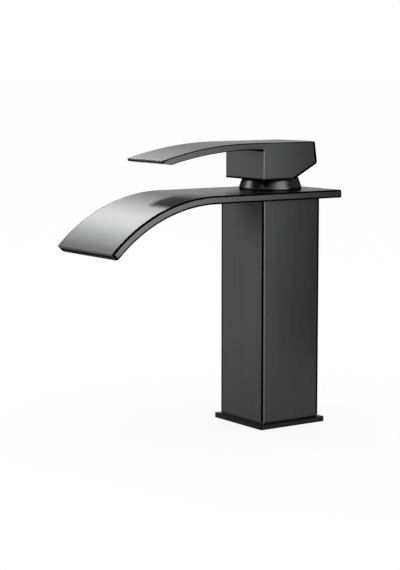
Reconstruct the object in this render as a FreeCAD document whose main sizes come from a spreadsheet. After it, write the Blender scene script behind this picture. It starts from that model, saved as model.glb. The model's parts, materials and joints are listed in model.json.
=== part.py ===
import FreeCAD, Part
import math
import os

import Sketcher
from FreeCAD import Placement, Rotation, Vector

# Single-lever basin mixer with a flat waterfall spout.
# The origin is the centre of the base plate's underside, the spout points along -Y and Z is up.
# Driving dimensions: millimetres, and degrees for angles.
SIZES = {
    # Base plate and its gasket
    "base_side": 46.9,
    "base_thick": 3.1,
    "base_edge": 0.5,
    "gasket_inner": 19.2,
    "gasket_width": 2.8,
    "gasket_thick": 1.5,
    "gasket_fit": 0.05,
    # Square column
    "column_side": 42.0,
    "column_wall": 2.9,
    "column_height": 131.3,
    "column_edge": 1.2,
    "column_relief": 0.7,
    "column_relief_depth": 0.8,
    "insert_fit": 0.1,
    "insert_edge": 0.6,
    # Foot block, with its sockets
    "foot_height": 15.0,
    "spigot_radius": 17.5,
    "spigot_fit": 0.1,
    "hose_socket_radius": 4.5,
    "hose_socket_depth": 11.0,
    "stud_socket_radius": 3.4,
    "stud_socket_depth": 13.0,
    "stud_setback": 10.5,
    # Feed pipes
    "feed_offset": 7.5,
    "feed_advance": 4.2,
    "pipe_radius": 5.0,
    "pipe_bore": 3.2,
    "pipe_insert": 4.0,
    "pipe_fit": 0.05,
    "pipe_seal_thick": 1.2,
    # Valve body
    "valve_height": 42.0,
    "collar_radius": 16.2,
    "collar_rise": 3.0,
    "collar_fit": 0.1,
    "inlet_offset": 5.2,
    "inlet_radius": 2.2,
    "inlet_depth": 7.0,
    "inlet_cover": 3.0,
    "outlet_setback": 4.6,
    "outlet_radius": 2.8,
    "gallery_radius": 2.4,
    "gallery_drop": 7.0,
    "riser_radius": 2.9,
    "riser_offset": 13.8,
    "plug_length": 3.0,
    # Spout
    "spout_width": 59.84,
    "spout_thick": 4.66,
    "spout_skin": 1.2,
    "spout_rim": 1.6,
    "spout_fit": 0.05,
    "spout_tail": 30.6,
    "spout_flat": 60.0,
    "spout_bend_radius": 91.5,
    "spout_bend_angle": 45.7,
    "spout_edge": 1.2,
    "spout_under_edge": 0.5,
    "spout_tip_edge": 0.4,
    # Cartridge
    "cartridge_radius": 12.5,
    "cartridge_fit": 0.2,
    "cartridge_length": 26.0,
    "cartridge_wall": 1.3,
    "cartridge_lip": 2.4,
    "cartridge_mouth": 9.8,
    "port_block_lift": 0.8,
    "port_block_height": 6.0,
    "port_block_fit": 0.1,
    "port_depth": 3.6,
    "port_seal_width": 1.1,
    "port_seal_height": 1.8,
    "disc_fit": 0.2,
    "disc_gap": 0.05,
    "fixed_disc_thick": 3.7,
    "disc_inlet_offset": 4.5,
    "disc_inlet_advance": 3.2,
    "disc_inlet_radius": 1.5,
    "disc_outlet_setback": 1.2,
    "disc_outlet_radius": 2.2,
    "moving_disc_radius": 8.8,
    "moving_disc_thick": 2.75,
    "moving_disc_setback": 1.9,
    "mixing_half_width": 5.2,
    "mixing_front": 1.3,
    "mixing_rear": 7.5,
    "mixing_depth": 1.5,
    "carrier_radius": 8.6,
    "carrier_half_width": 6.0,
    "carrier_height": 5.0,
    "socket_fit": 0.2,
    # Rotor and pivot pin
    "rotor_lift": 0.7,
    "rotor_flange_radius": 10.9,
    "rotor_flange_thick": 4.2,
    "rotor_neck_radius": 9.5,
    "rotor_rise": 6.4,
    "rotor_slot_front": 6.0,
    "rotor_slot_rear": 8.2,
    "slot_fit": 0.2,
    "cheek_depth": 5.0,
    "cheek_thick": 3.3,
    "cheek_half_length": 4.0,
    "cheek_fit": 0.3,
    "pin_radius": 1.5,
    "pin_fit": 0.05,
    "pin_length": 17.6,
    "pin_drop": 1.0,
    # Stem
    "stem_side": 7.0,
    "stem_fit": 0.075,
    "stem_below_pin": 5.0,
    "stem_neck_radius": 1.5,
    "ball_radius": 2.4,
    "ball_arm": 9.0,
    "stem_top_gap": 0.6,
    # Retaining nut
    "nut_radius": 13.6,
    "nut_fit": 0.05,
    "nut_depth": 4.0,
    "nut_height": 4.5,
    "nut_bore": 10.2,
    "nut_notch_width": 3.0,
    "nut_notch_depth": 1.6,
    # Tapered cover and its ring
    "cover_inset": 0.13,
    "cover_wall": 1.2,
    "cover_rim": 1.6,
    "cover_height": 7.9,
    "cover_top_gap": 0.83,
    "cover_lip": 1.7,
    "cover_edge": 0.5,
    "cover_fit": 0.15,
    "cover_headroom": 0.5,
    "ring_radius": 0.65,
    "ring_fit": 0.02,
    "ring_height": 1.5,
    "ring_groove_depth": 1.2,
    "ring_groove_half_width": 0.75,
    # Lever handle
    "handle_width": 37.26,
    "handle_gap": 6.54,
    "handle_height": 21.7,
    "handle_front": 19.1,
    "handle_back": 26.0,
    "handle_back_lean": 7.9,
    "handle_back_radius": 45.0,
    "heel_start": 3.4,
    "heel_angle": 27.6,
    "handle_wall": 1.5,
    "handle_roof": 3.8,
    "handle_hollow_rear": 17.0,
    "handle_edge": 0.6,
    "handle_back_edge": 2.5,
    "boss_radius": 8.0,
    "boss_length": 14.5,
    "lever_reach": 88.2,
    "lever_thick": 3.9,
    "lever_bend_start": 28.0,
    "lever_bend_radius": 225.0,
    "lever_tip_thick": 1.6,
    "lever_tip_bevel": 5.5,
    "lever_root": 0.9,
    # Grub screw and the plug that hides it
    "grub_radius": 2.5,
    "grub_fit": 0.05,
    "grub_length": 5.0,
    "grub_hex_flat": 2.5,
    "grub_hex_depth": 2.5,
    "grub_height": 14.6,
    "screw_plug_radius": 3.0,
    "screw_plug_length": 2.6,
    "screw_plug_seat": 21.0,
}

# Heights above the basin, as expressions on the sheet's cells.
BASE_TOP = "sizes.base_thick"
FOOT_TOP = f"({BASE_TOP} + sizes.foot_height)"
SPOUT_UNDER = f"({BASE_TOP} + sizes.column_height)"
SPOUT_TOP = f"({SPOUT_UNDER} + sizes.spout_thick)"
COLLAR_TOP = f"({SPOUT_TOP} + sizes.collar_rise)"
VALVE_BOTTOM = f"({SPOUT_UNDER} - sizes.valve_height)"
HOUSING_TOP = f"({COLLAR_TOP} - sizes.nut_depth)"
SEAT = f"({HOUSING_TOP} - sizes.cartridge_length)"
GALLERY = f"({SEAT} - sizes.gallery_drop)"
PORT_BLOCK_BOTTOM = f"({SEAT} + sizes.port_block_lift)"
FIXED_DISC_BOTTOM = f"({PORT_BLOCK_BOTTOM} + sizes.port_block_height)"
MOVING_DISC_BOTTOM = f"({FIXED_DISC_BOTTOM} + sizes.fixed_disc_thick + sizes.disc_gap)"
CARRIER_BOTTOM = f"({MOVING_DISC_BOTTOM} + sizes.moving_disc_thick)"
ROTOR_BOTTOM = f"({CARRIER_BOTTOM} + sizes.carrier_height + sizes.rotor_lift)"
ROTOR_SHOULDER = f"({ROTOR_BOTTOM} + sizes.rotor_flange_thick)"
ROTOR_TOP = f"({HOUSING_TOP} + sizes.rotor_rise)"
PIN_HEIGHT = f"({HOUSING_TOP} - sizes.pin_drop)"
BALL_HEIGHT = f"({PIN_HEIGHT} - sizes.ball_arm)"
STEM_BOTTOM = f"({PIN_HEIGHT} - sizes.stem_below_pin)"
HANDLE_BOTTOM = f"({SPOUT_TOP} + sizes.handle_gap)"
HANDLE_TOP = f"({HANDLE_BOTTOM} + sizes.handle_height)"
HANDLE_CEILING = f"({HANDLE_TOP} - sizes.handle_roof)"
BOSS_BOTTOM = f"({HANDLE_CEILING} - sizes.boss_length)"
STEM_TOP = f"({HANDLE_CEILING} - sizes.stem_top_gap)"
GRUB_HEIGHT = f"({HANDLE_BOTTOM} + sizes.grub_height)"

# Widths and radii that several pieces share.
COLUMN_BORE = "(sizes.column_side / 2 - sizes.column_wall)"
INSERT_HALF = f"({COLUMN_BORE} - sizes.insert_fit)"
PIPE_SOCKET = "(sizes.pipe_radius + sizes.pipe_fit)"
PIPE_SOCKET_DEPTH = "(sizes.pipe_insert + sizes.pipe_seal_thick)"
COLLAR_HOLE = "(sizes.collar_radius + sizes.collar_fit)"
COVER_BORE = "(sizes.collar_radius + sizes.cover_fit)"
COVER_LEAST = f"({COVER_BORE} + sizes.cover_wall)"
COVER_RADIUS = f"max(sizes.handle_width / 2 - sizes.cover_inset; {COVER_LEAST})"
COVER_TOP_RADIUS = "(sizes.handle_width / 2 - sizes.handle_wall - sizes.cover_top_gap)"
HOUSING_BORE = "(sizes.cartridge_radius - sizes.cartridge_wall)"
SPOUT_HALF_CHANNEL = "(sizes.spout_width / 2 - sizes.spout_rim)"
SPOUT_REAR_CHANNEL = "(sizes.spout_tail - sizes.spout_rim)"
STEM_SOCKET_HALF = "(sizes.stem_side / 2 + sizes.stem_fit)"
GRUB_HOLE = "(sizes.grub_radius + sizes.grub_fit)"

LEFT = 1
RIGHT = -1
UPWARD = Vector(0, 0, 1)
FULL_TURN = 360
QUARTER_TURN = 90
NUT_NOTCHES = 6
HEX_SIDES = 6
# A cut that goes right through is this many times as long as what it crosses.
OVERRUN = 2
# How a sketch numbers the points of an edge, and the edge that stands for its axes.
START_POINT, END_POINT, CENTRE_POINT = range(1, 4)
AXIS_EDGE = -START_POINT

doc = FreeCAD.newDocument("basin_mixer")
sizes = doc.addObject("Spreadsheet::Sheet", "sizes")


def fill_sheet():
    """Writes every driving dimension into an aliased cell."""
    for row, (name, size) in enumerate(SIZES.items(), start=1):
        sizes.set(f"A{row}", name)
        sizes.set(f"B{row}", str(size))
        sizes.setAlias(f"B{row}", name)
    doc.recompute()


def value(expression):
    """The present number of an expression on the sheet."""
    return float(sizes.evalExpression(expression))


# Sketch helpers


def new_body(label):
    body = doc.addObject("PartDesign::Body", label)
    body.Label = label
    return body


def origin_feature(body, role):
    return next(feature for feature in body.Origin.OriginFeatures if feature.Role == role)


def new_sketch(body, plane, offset="0"):
    """A sketch on one of the body's origin planes, moved along the plane's normal."""
    sketch = body.newObject("Sketcher::SketchObject", f"{body.Name}_sketch")
    sketch.AttachmentSupport = [(origin_feature(body, plane), "")]
    sketch.MapMode = "FlatFace"
    sketch.setExpression("AttachmentOffset.Base.z", offset)
    return sketch


def bind_constraint(sketch, constraint, expression):
    index = sketch.addConstraint(constraint)
    sketch.setExpression(f"Constraints[{index}]", expression)


def place_point(sketch, edge, end, x, y):
    """Ties a point of an edge to two coordinate expressions."""
    for kind, expression in (("DistanceX", x), ("DistanceY", y)):
        origin = (AXIS_EDGE, START_POINT)
        constraint = Sketcher.Constraint(kind, *origin, edge, end, value(expression))
        bind_constraint(sketch, constraint, expression)


def arc_between(start, stop, radius, turn):
    """The short arc from start to stop, turning left or right."""
    chord = stop - start
    across = Vector(-chord.y, chord.x, 0).normalize()
    reach = math.sqrt(radius**2 - (chord.Length / 2) ** 2)
    centre = (start + stop) / 2 + across * turn * reach
    ends = (start, stop) if turn == LEFT else (stop, start)
    angles = [math.atan2(end.y - centre.y, end.x - centre.x) for end in ends]
    return Part.ArcOfCircle(Part.Circle(centre, UPWARD, radius), *angles)


def add_outline(sketch, corners):
    """A closed outline. A corner is (x, y), or (x, y, radius, turn) where an arc leaves it."""
    points = [Vector(value(corner[0]), value(corner[1]), 0) for corner in corners]
    first_edge = sketch.GeometryCount
    forwards = (START_POINT, END_POINT)
    backwards = (END_POINT, START_POINT)
    ends = []
    for number, corner in enumerate(corners):
        start = points[number]
        stop = points[(number + 1) % len(points)]
        _, _, *arc = corner
        if not arc:
            sketch.addGeometry(Part.LineSegment(start, stop))
            ends.append(forwards)
            continue
        radius, turn = arc
        edge = sketch.addGeometry(arc_between(start, stop, value(radius), turn))
        bind_constraint(sketch, Sketcher.Constraint("Radius", edge, value(radius)), radius)
        ends.append(forwards if turn == LEFT else backwards)
    for number, corner in enumerate(corners):
        following = (number + 1) % len(corners)
        edge = first_edge + number
        next_edge = first_edge + following
        sketch.addConstraint(
            Sketcher.Constraint("Coincident", edge, ends[number][1], next_edge, ends[following][0])
        )
        place_point(sketch, edge, ends[number][0], corner[0], corner[1])


def add_rectangle(sketch, left, bottom, right, top):
    add_outline(sketch, [(left, bottom), (right, bottom), (right, top), (left, top)])


def add_square(sketch, half):
    add_rectangle(sketch, f"-{half}", f"-{half}", half, half)


def add_circle(sketch, x, y, radius):
    circle = Part.Circle(Vector(value(x), value(y), 0), UPWARD, value(radius))
    edge = sketch.addGeometry(circle)
    place_point(sketch, edge, CENTRE_POINT, x, y)
    bind_constraint(sketch, Sketcher.Constraint("Radius", edge, value(radius)), radius)


# Feature helpers


def extrude(kind, body, sketch, length, symmetric=False, reverse=False):
    feature = body.newObject(f"PartDesign::{kind}", f"{body.Name}_{kind.lower()}")
    feature.Profile = sketch
    if symmetric:
        feature.SideType = "Symmetric"
    feature.Reversed = reverse
    feature.setExpression("Length", length)
    doc.recompute()
    return feature


def pad(body, sketch, length, symmetric=False, reverse=False):
    return extrude("Pad", body, sketch, length, symmetric, reverse)


def pocket(body, sketch, length, symmetric=False, reverse=False):
    """A pocket that has to take material away."""
    before = body.Shape.Volume
    feature = extrude("Pocket", body, sketch, length, symmetric, reverse)
    if body.Shape.Volume >= before:
        raise ValueError(f"{feature.Name} cuts nothing")
    return feature


def revolve(body, sketch, kind="Revolution"):
    """A full turn of the sketch about its vertical axis."""
    feature = body.newObject(f"PartDesign::{kind}", f"{body.Name}_{kind.lower()}")
    feature.Profile = sketch
    feature.ReferenceAxis = (sketch, ["V_Axis"])
    feature.Angle = FULL_TURN
    doc.recompute()
    return feature


def edges_where(feature, test):
    """Names of the feature's edges whose box and middle pass the test."""
    return [
        f"Edge{number}"
        for number, edge in enumerate(feature.Shape.Edges, start=1)
        if test(edge.BoundBox, edge.CenterOfMass)
    ]


def round_edges(body, feature, names, radius):
    fillet = body.newObject("PartDesign::Fillet", f"{body.Name}_fillet")
    fillet.Base = (feature, names)
    fillet.setExpression("Radius", radius)
    doc.recompute()
    return fillet


def break_edges(body, feature, names, size):
    chamfer = body.newObject("PartDesign::Chamfer", f"{body.Name}_chamfer")
    chamfer.Base = (feature, names)
    chamfer.setExpression("Size", size)
    doc.recompute()
    return chamfer


NEAR = 1e-3


def is_upright(box):
    """True for a straight edge that runs along Z."""
    return box.ZLength > NEAR and box.XLength < NEAR and box.YLength < NEAR


# Base and column


def make_base_plate():
    body = new_body("base_plate")
    plate = new_sketch(body, "XY_Plane")
    add_square(plate, "(sizes.base_side / 2)")
    add_circle(plate, "0", "0", "sizes.spigot_radius + sizes.spigot_fit")
    block = pad(body, plate, BASE_TOP)
    half = value("sizes.base_side / 2")
    outer = edges_where(
        block,
        lambda box, middle: is_upright(box)
        or (box.ZMin > NEAR and max(abs(middle.x), abs(middle.y)) > half - NEAR),
    )
    round_edges(body, block, outer, "sizes.base_edge")
    groove = new_sketch(body, "XY_Plane")
    add_circle(groove, "0", "0", "sizes.gasket_inner - sizes.gasket_fit")
    add_circle(groove, "0", "0", "sizes.gasket_inner + sizes.gasket_width + sizes.gasket_fit")
    pocket(body, groove, "sizes.gasket_thick", reverse=True)
    return body


def make_base_gasket():
    body = new_body("base_gasket")
    ring = new_sketch(body, "XY_Plane")
    add_circle(ring, "0", "0", "sizes.gasket_inner")
    add_circle(ring, "0", "0", "sizes.gasket_inner + sizes.gasket_width")
    pad(body, ring, "sizes.gasket_thick")
    return body


def make_column_shell():
    body = new_body("column_shell")
    section = new_sketch(body, "XY_Plane", BASE_TOP)
    add_square(section, "(sizes.column_side / 2)")
    add_square(section, COLUMN_BORE)
    tube = pad(body, section, "sizes.column_height")
    bore = value(COLUMN_BORE)
    corners = edges_where(tube, lambda box, middle: is_upright(box) and abs(middle.x) > bore + NEAR)
    round_edges(body, tube, corners, "sizes.column_edge")
    relief = new_sketch(body, "XY_Plane", BASE_TOP)
    add_square(relief, "(sizes.column_side / 2 + sizes.column_relief_depth)")
    add_square(relief, "(sizes.column_side / 2 - sizes.column_relief_depth)")
    pocket(body, relief, "sizes.column_relief", reverse=True)
    return body


def make_insert(body, bottom, height):
    """The square block that fills the column's bore, with its corners broken."""
    section = new_sketch(body, "XY_Plane", bottom)
    add_square(section, INSERT_HALF)
    block = pad(body, section, height)
    corners = edges_where(block, lambda box, middle: is_upright(box))
    break_edges(body, block, corners, "sizes.insert_edge")


def add_feed_pair(sketch, radius, offset="sizes.feed_offset"):
    """Two circles, one for each feed."""
    add_circle(sketch, f"-{offset}", "-sizes.feed_advance", radius)
    add_circle(sketch, offset, "-sizes.feed_advance", radius)


def make_foot_block():
    body = new_body("foot_block")
    make_insert(body, BASE_TOP, "sizes.foot_height")
    spigot = new_sketch(body, "XY_Plane")
    add_circle(spigot, "0", "0", "sizes.spigot_radius")
    pad(body, spigot, BASE_TOP)
    hose_sockets = new_sketch(body, "XY_Plane")
    add_feed_pair(hose_sockets, "sizes.hose_socket_radius")
    pocket(body, hose_sockets, "sizes.hose_socket_depth", reverse=True)
    stud_socket = new_sketch(body, "XY_Plane")
    add_circle(stud_socket, "0", "sizes.stud_setback", "sizes.stud_socket_radius")
    pocket(body, stud_socket, "sizes.stud_socket_depth", reverse=True)
    pipe_sockets = new_sketch(body, "XY_Plane", FOOT_TOP)
    add_feed_pair(pipe_sockets, PIPE_SOCKET)
    pocket(body, pipe_sockets, PIPE_SOCKET_DEPTH)
    ways = new_sketch(body, "XY_Plane", FOOT_TOP)
    add_feed_pair(ways, "sizes.pipe_bore")
    pocket(body, ways, f"{FOOT_TOP} - sizes.hose_socket_depth")
    return body


def make_feed_pipe(label, side):
    """A straight pipe between the sockets of the foot block and the valve body."""
    pipe_bottom = f"({FOOT_TOP} - sizes.pipe_insert)"
    pipe_top = f"({VALVE_BOTTOM} + sizes.pipe_insert)"
    body = new_body(label)
    section = new_sketch(body, "XY_Plane", pipe_bottom)
    for radius in ("sizes.pipe_radius", "sizes.pipe_bore"):
        add_circle(section, f"{side} * sizes.feed_offset", "-sizes.feed_advance", radius)
    pad(body, section, f"{pipe_top} - {pipe_bottom}")
    return body


def make_feed_pipe_seals():
    body = new_body("feed_pipe_seals")
    for height in (f"{FOOT_TOP} - {PIPE_SOCKET_DEPTH}", f"{VALVE_BOTTOM} + sizes.pipe_insert"):
        section = new_sketch(body, "XY_Plane", height)
        add_feed_pair(section, "sizes.pipe_radius")
        add_feed_pair(section, "sizes.pipe_bore")
        pad(body, section, "sizes.pipe_seal_thick")
    return body


# Valve body


def cut_valve_ports(body):
    """Inlet ways from the pipe sockets, the outlet, its cross galleries and the two risers."""
    pipe_sockets = new_sketch(body, "XY_Plane", VALVE_BOTTOM)
    add_feed_pair(pipe_sockets, PIPE_SOCKET)
    pocket(body, pipe_sockets, PIPE_SOCKET_DEPTH, reverse=True)
    ways = new_sketch(body, "XY_Plane", VALVE_BOTTOM)
    add_feed_pair(ways, "sizes.pipe_bore")
    pocket(body, ways, f"{SEAT} - sizes.inlet_cover - {VALVE_BOTTOM}", reverse=True)
    inlets = new_sketch(body, "XY_Plane", SEAT)
    add_feed_pair(inlets, "sizes.inlet_radius", "sizes.inlet_offset")
    pocket(body, inlets, "sizes.inlet_depth")
    outlet = new_sketch(body, "XY_Plane", SEAT)
    add_circle(outlet, "0", "sizes.outlet_setback", "sizes.outlet_radius")
    pocket(body, outlet, "sizes.gallery_drop")
    rear_gallery = new_sketch(body, "XZ_Plane", f"-{INSERT_HALF}")
    add_circle(rear_gallery, "0", GALLERY, "sizes.gallery_radius")
    pocket(body, rear_gallery, f"{INSERT_HALF} - sizes.outlet_setback", reverse=True)
    cross_gallery = new_sketch(body, "YZ_Plane", INSERT_HALF)
    add_circle(cross_gallery, "sizes.riser_offset", GALLERY, "sizes.gallery_radius")
    pocket(body, cross_gallery, f"{INSERT_HALF} + sizes.riser_offset")
    risers = new_sketch(body, "XY_Plane", SPOUT_UNDER)
    for side in ("-", ""):
        add_circle(risers, f"{side}sizes.riser_offset", "sizes.riser_offset", "sizes.riser_radius")
    pocket(body, risers, f"{SPOUT_UNDER} - {GALLERY}")


def make_valve_body():
    body = new_body("valve_body")
    make_insert(body, VALVE_BOTTOM, "sizes.valve_height")
    collar = new_sketch(body, "XY_Plane", SPOUT_UNDER)
    add_circle(collar, "0", "0", "sizes.collar_radius")
    pad(body, collar, f"{COLLAR_TOP} - {SPOUT_UNDER}")
    ring_height = f"({SPOUT_TOP} + sizes.ring_height)"
    ring_groove = new_sketch(body, "XZ_Plane")
    add_rectangle(
        ring_groove,
        "sizes.collar_radius - sizes.ring_groove_depth",
        f"{ring_height} - sizes.ring_groove_half_width",
        "sizes.collar_radius + sizes.ring_groove_depth",
        f"{ring_height} + sizes.ring_groove_half_width",
    )
    revolve(body, ring_groove, "Groove")
    bore = new_sketch(body, "XY_Plane", COLLAR_TOP)
    add_circle(bore, "0", "0", "sizes.cartridge_radius + sizes.cartridge_fit")
    pocket(body, bore, f"{COLLAR_TOP} - {SEAT}")
    nut_bore = new_sketch(body, "XY_Plane", COLLAR_TOP)
    add_circle(nut_bore, "0", "0", "sizes.nut_radius + sizes.nut_fit")
    pocket(body, nut_bore, "sizes.nut_depth")
    cut_valve_ports(body)
    return body


def make_gallery_plugs():
    """Plugs in the mouths of the two drilled galleries."""
    body = new_body("gallery_plugs")
    rear = new_sketch(body, "XZ_Plane", f"-{INSERT_HALF}")
    add_circle(rear, "0", GALLERY, "sizes.gallery_radius")
    pad(body, rear, "sizes.plug_length")
    cross = new_sketch(body, "YZ_Plane", INSERT_HALF)
    add_circle(cross, "sizes.riser_offset", GALLERY, "sizes.gallery_radius")
    pad(body, cross, "sizes.plug_length", reverse=True)
    return body


# Spout


def spout_outline(rear, lower, upper):
    """Side view of a layer of the spout, from lower to upper above its underside."""
    bend_centre = f"({SPOUT_UNDER} - sizes.spout_bend_radius)"
    lower_radius = f"(sizes.spout_bend_radius + {lower})"
    upper_radius = f"(sizes.spout_bend_radius + {upper})"

    def tip(radius):
        across = f"-sizes.spout_flat - {radius} * sin(sizes.spout_bend_angle)"
        up = f"{bend_centre} + {radius} * cos(sizes.spout_bend_angle)"
        return across, up

    return [
        (rear, f"{SPOUT_UNDER} + {upper}"),
        ("-sizes.spout_flat", f"{SPOUT_UNDER} + {upper}", upper_radius, LEFT),
        tip(upper_radius),
        (*tip(lower_radius), lower_radius, RIGHT),
        ("-sizes.spout_flat", f"{SPOUT_UNDER} + {lower}"),
        (rear, f"{SPOUT_UNDER} + {lower}"),
    ]


def cut_collar_hole(body):
    hole = new_sketch(body, "XY_Plane", SPOUT_TOP)
    add_circle(hole, "0", "0", COLLAR_HOLE)
    return pocket(body, hole, f"{OVERRUN} * sizes.spout_thick", symmetric=True)


def make_spout_top_plate():
    """Top skin with a rim down each side and across the rear; the tip is open."""
    body = new_body("spout_top_plate")
    side_view = new_sketch(body, "YZ_Plane")
    add_outline(side_view, spout_outline("sizes.spout_tail", "0", "sizes.spout_thick"))
    slab = pad(body, side_view, "sizes.spout_width", symmetric=True)
    half = value("sizes.spout_width / 2")
    tail = value("sizes.spout_tail")
    flat_top = value(SPOUT_TOP)
    bend_start = value("-sizes.spout_flat")
    tip_front = slab.Shape.BoundBox.YMin

    def is_upper(box, middle):
        across = middle.y - bend_start
        up = middle.z - value(f"{SPOUT_UNDER} - sizes.spout_bend_radius")
        mid_radius = value("sizes.spout_bend_radius + sizes.spout_thick / 2")
        return box.ZMax > flat_top - NEAR or (across < 0 and math.hypot(across, up) > mid_radius)

    def runs_along_side(box, middle):
        return abs(middle.x) > half - NEAR and box.YLength > value("sizes.spout_thick")

    def is_upper_edge(box, middle):
        at_rear = middle.y > tail - NEAR
        rear_corner = at_rear and is_upright(box)
        rear_top = at_rear and box.ZMin > flat_top - NEAR
        return (runs_along_side(box, middle) and is_upper(box, middle)) or rear_corner or rear_top

    def is_lower_edge(box, middle):
        return runs_along_side(box, middle) and not is_upper(box, middle)

    def is_tip_edge(box, middle):
        return box.YMin < tip_front + NEAR and box.XLength > half and box.YLength < NEAR

    lipped = round_edges(body, slab, edges_where(slab, is_tip_edge), "sizes.spout_tip_edge")
    rounded = round_edges(body, lipped, edges_where(lipped, is_upper_edge), "sizes.spout_edge")
    round_edges(body, rounded, edges_where(rounded, is_lower_edge), "sizes.spout_under_edge")
    channel = new_sketch(body, "YZ_Plane")
    depth = "(sizes.spout_thick - sizes.spout_skin)"
    add_outline(channel, spout_outline(SPOUT_REAR_CHANNEL, f"-{depth}", depth))
    pocket(body, channel, f"2 * {SPOUT_HALF_CHANNEL}", symmetric=True)
    cut_collar_hole(body)
    return body


def make_spout_bottom_plate():
    """Bottom skin between the rims; the gap to the top skin is the water's way to the tip."""
    body = new_body("spout_bottom_plate")
    side_view = new_sketch(body, "YZ_Plane")
    rear = f"({SPOUT_REAR_CHANNEL} - sizes.spout_fit)"
    add_outline(side_view, spout_outline(rear, "0", "sizes.spout_skin"))
    pad(body, side_view, f"2 * ({SPOUT_HALF_CHANNEL} - sizes.spout_fit)", symmetric=True)
    cut_collar_hole(body)
    risers = new_sketch(body, "XY_Plane", SPOUT_TOP)
    for side in ("-", ""):
        add_circle(risers, f"{side}sizes.riser_offset", "sizes.riser_offset", "sizes.riser_radius")
    pocket(body, risers, f"{OVERRUN} * sizes.spout_thick", symmetric=True)
    return body


# Cartridge


def make_cartridge_housing():
    body = new_body("cartridge_housing")
    section = new_sketch(body, "XZ_Plane")
    add_outline(
        section,
        [
            (HOUSING_BORE, SEAT),
            ("sizes.cartridge_radius", SEAT),
            ("sizes.cartridge_radius", HOUSING_TOP),
            ("sizes.cartridge_mouth", HOUSING_TOP),
            ("sizes.cartridge_mouth", f"{HOUSING_TOP} - sizes.cartridge_lip"),
            (HOUSING_BORE, f"{HOUSING_TOP} - sizes.cartridge_lip"),
        ],
    )
    revolve(body, section)
    return body


def add_seat_ports(sketch, widening):
    """The seat's two inlets and its outlet, wider by the given size."""
    add_feed_pair(sketch, f"sizes.inlet_radius + {widening}", "sizes.inlet_offset")
    add_circle(sketch, "0", "sizes.outlet_setback", f"sizes.outlet_radius + {widening}")


def add_disc_ports(sketch):
    """The fixed disc's two inlets and its outlet."""
    for side in ("-", ""):
        add_circle(
            sketch,
            f"{side}sizes.disc_inlet_offset",
            "-sizes.disc_inlet_advance",
            "sizes.disc_inlet_radius",
        )
    add_circle(sketch, "0", "sizes.disc_outlet_setback", "sizes.disc_outlet_radius")


def make_cartridge_base():
    """Port block: wide ports below for the seals, disc ports above, meeting half way."""
    body = new_body("cartridge_base")
    plan = new_sketch(body, "XY_Plane", PORT_BLOCK_BOTTOM)
    add_circle(plan, "0", "0", f"{HOUSING_BORE} - sizes.port_block_fit")
    pad(body, plan, "sizes.port_block_height")
    seal_beds = new_sketch(body, "XY_Plane", PORT_BLOCK_BOTTOM)
    add_seat_ports(seal_beds, "sizes.port_seal_width")
    pocket(body, seal_beds, "sizes.port_seal_height - sizes.port_block_lift", reverse=True)
    lower_ports = new_sketch(body, "XY_Plane", PORT_BLOCK_BOTTOM)
    add_seat_ports(lower_ports, "0")
    pocket(body, lower_ports, "sizes.port_depth", reverse=True)
    upper_ports = new_sketch(body, "XY_Plane", FIXED_DISC_BOTTOM)
    add_disc_ports(upper_ports)
    pocket(body, upper_ports, "sizes.port_depth")
    return body


def make_port_seals():
    body = new_body("port_seals")
    section = new_sketch(body, "XY_Plane", SEAT)
    add_seat_ports(section, "sizes.port_seal_width")
    add_seat_ports(section, "0")
    pad(body, section, "sizes.port_seal_height")
    return body


def make_fixed_disc():
    body = new_body("fixed_disc")
    plan = new_sketch(body, "XY_Plane", FIXED_DISC_BOTTOM)
    add_circle(plan, "0", "0", f"{HOUSING_BORE} - sizes.disc_fit")
    add_disc_ports(plan)
    pad(body, plan, "sizes.fixed_disc_thick")
    return body


def make_moving_disc():
    """Sliding disc with a blind mixing chamber in its underside."""
    body = new_body("moving_disc")
    plan = new_sketch(body, "XY_Plane", MOVING_DISC_BOTTOM)
    add_circle(plan, "0", "sizes.moving_disc_setback", "sizes.moving_disc_radius")
    pad(body, plan, "sizes.moving_disc_thick")
    chamber = new_sketch(body, "XY_Plane", MOVING_DISC_BOTTOM)
    add_rectangle(
        chamber,
        "-sizes.mixing_half_width",
        "-sizes.mixing_front",
        "sizes.mixing_half_width",
        "sizes.mixing_rear",
    )
    pocket(body, chamber, "sizes.mixing_depth", reverse=True)
    return body


def make_disc_carrier():
    """Round carrier with two flats that run between the rotor's cheeks."""
    body = new_body("disc_carrier")
    front = "(sizes.moving_disc_setback - sqrt(sizes.carrier_radius^2 - sizes.carrier_half_width^2))"
    rear = "(sizes.moving_disc_setback + sqrt(sizes.carrier_radius^2 - sizes.carrier_half_width^2))"
    plan = new_sketch(body, "XY_Plane", CARRIER_BOTTOM)
    add_outline(
        plan,
        [
            ("-sizes.carrier_half_width", front, "sizes.carrier_radius", LEFT),
            ("sizes.carrier_half_width", front),
            ("sizes.carrier_half_width", rear, "sizes.carrier_radius", LEFT),
            ("-sizes.carrier_half_width", rear),
        ],
    )
    add_circle(plan, "0", "0", "sizes.ball_radius + sizes.socket_fit")
    pad(body, plan, "sizes.carrier_height")
    return body


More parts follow.
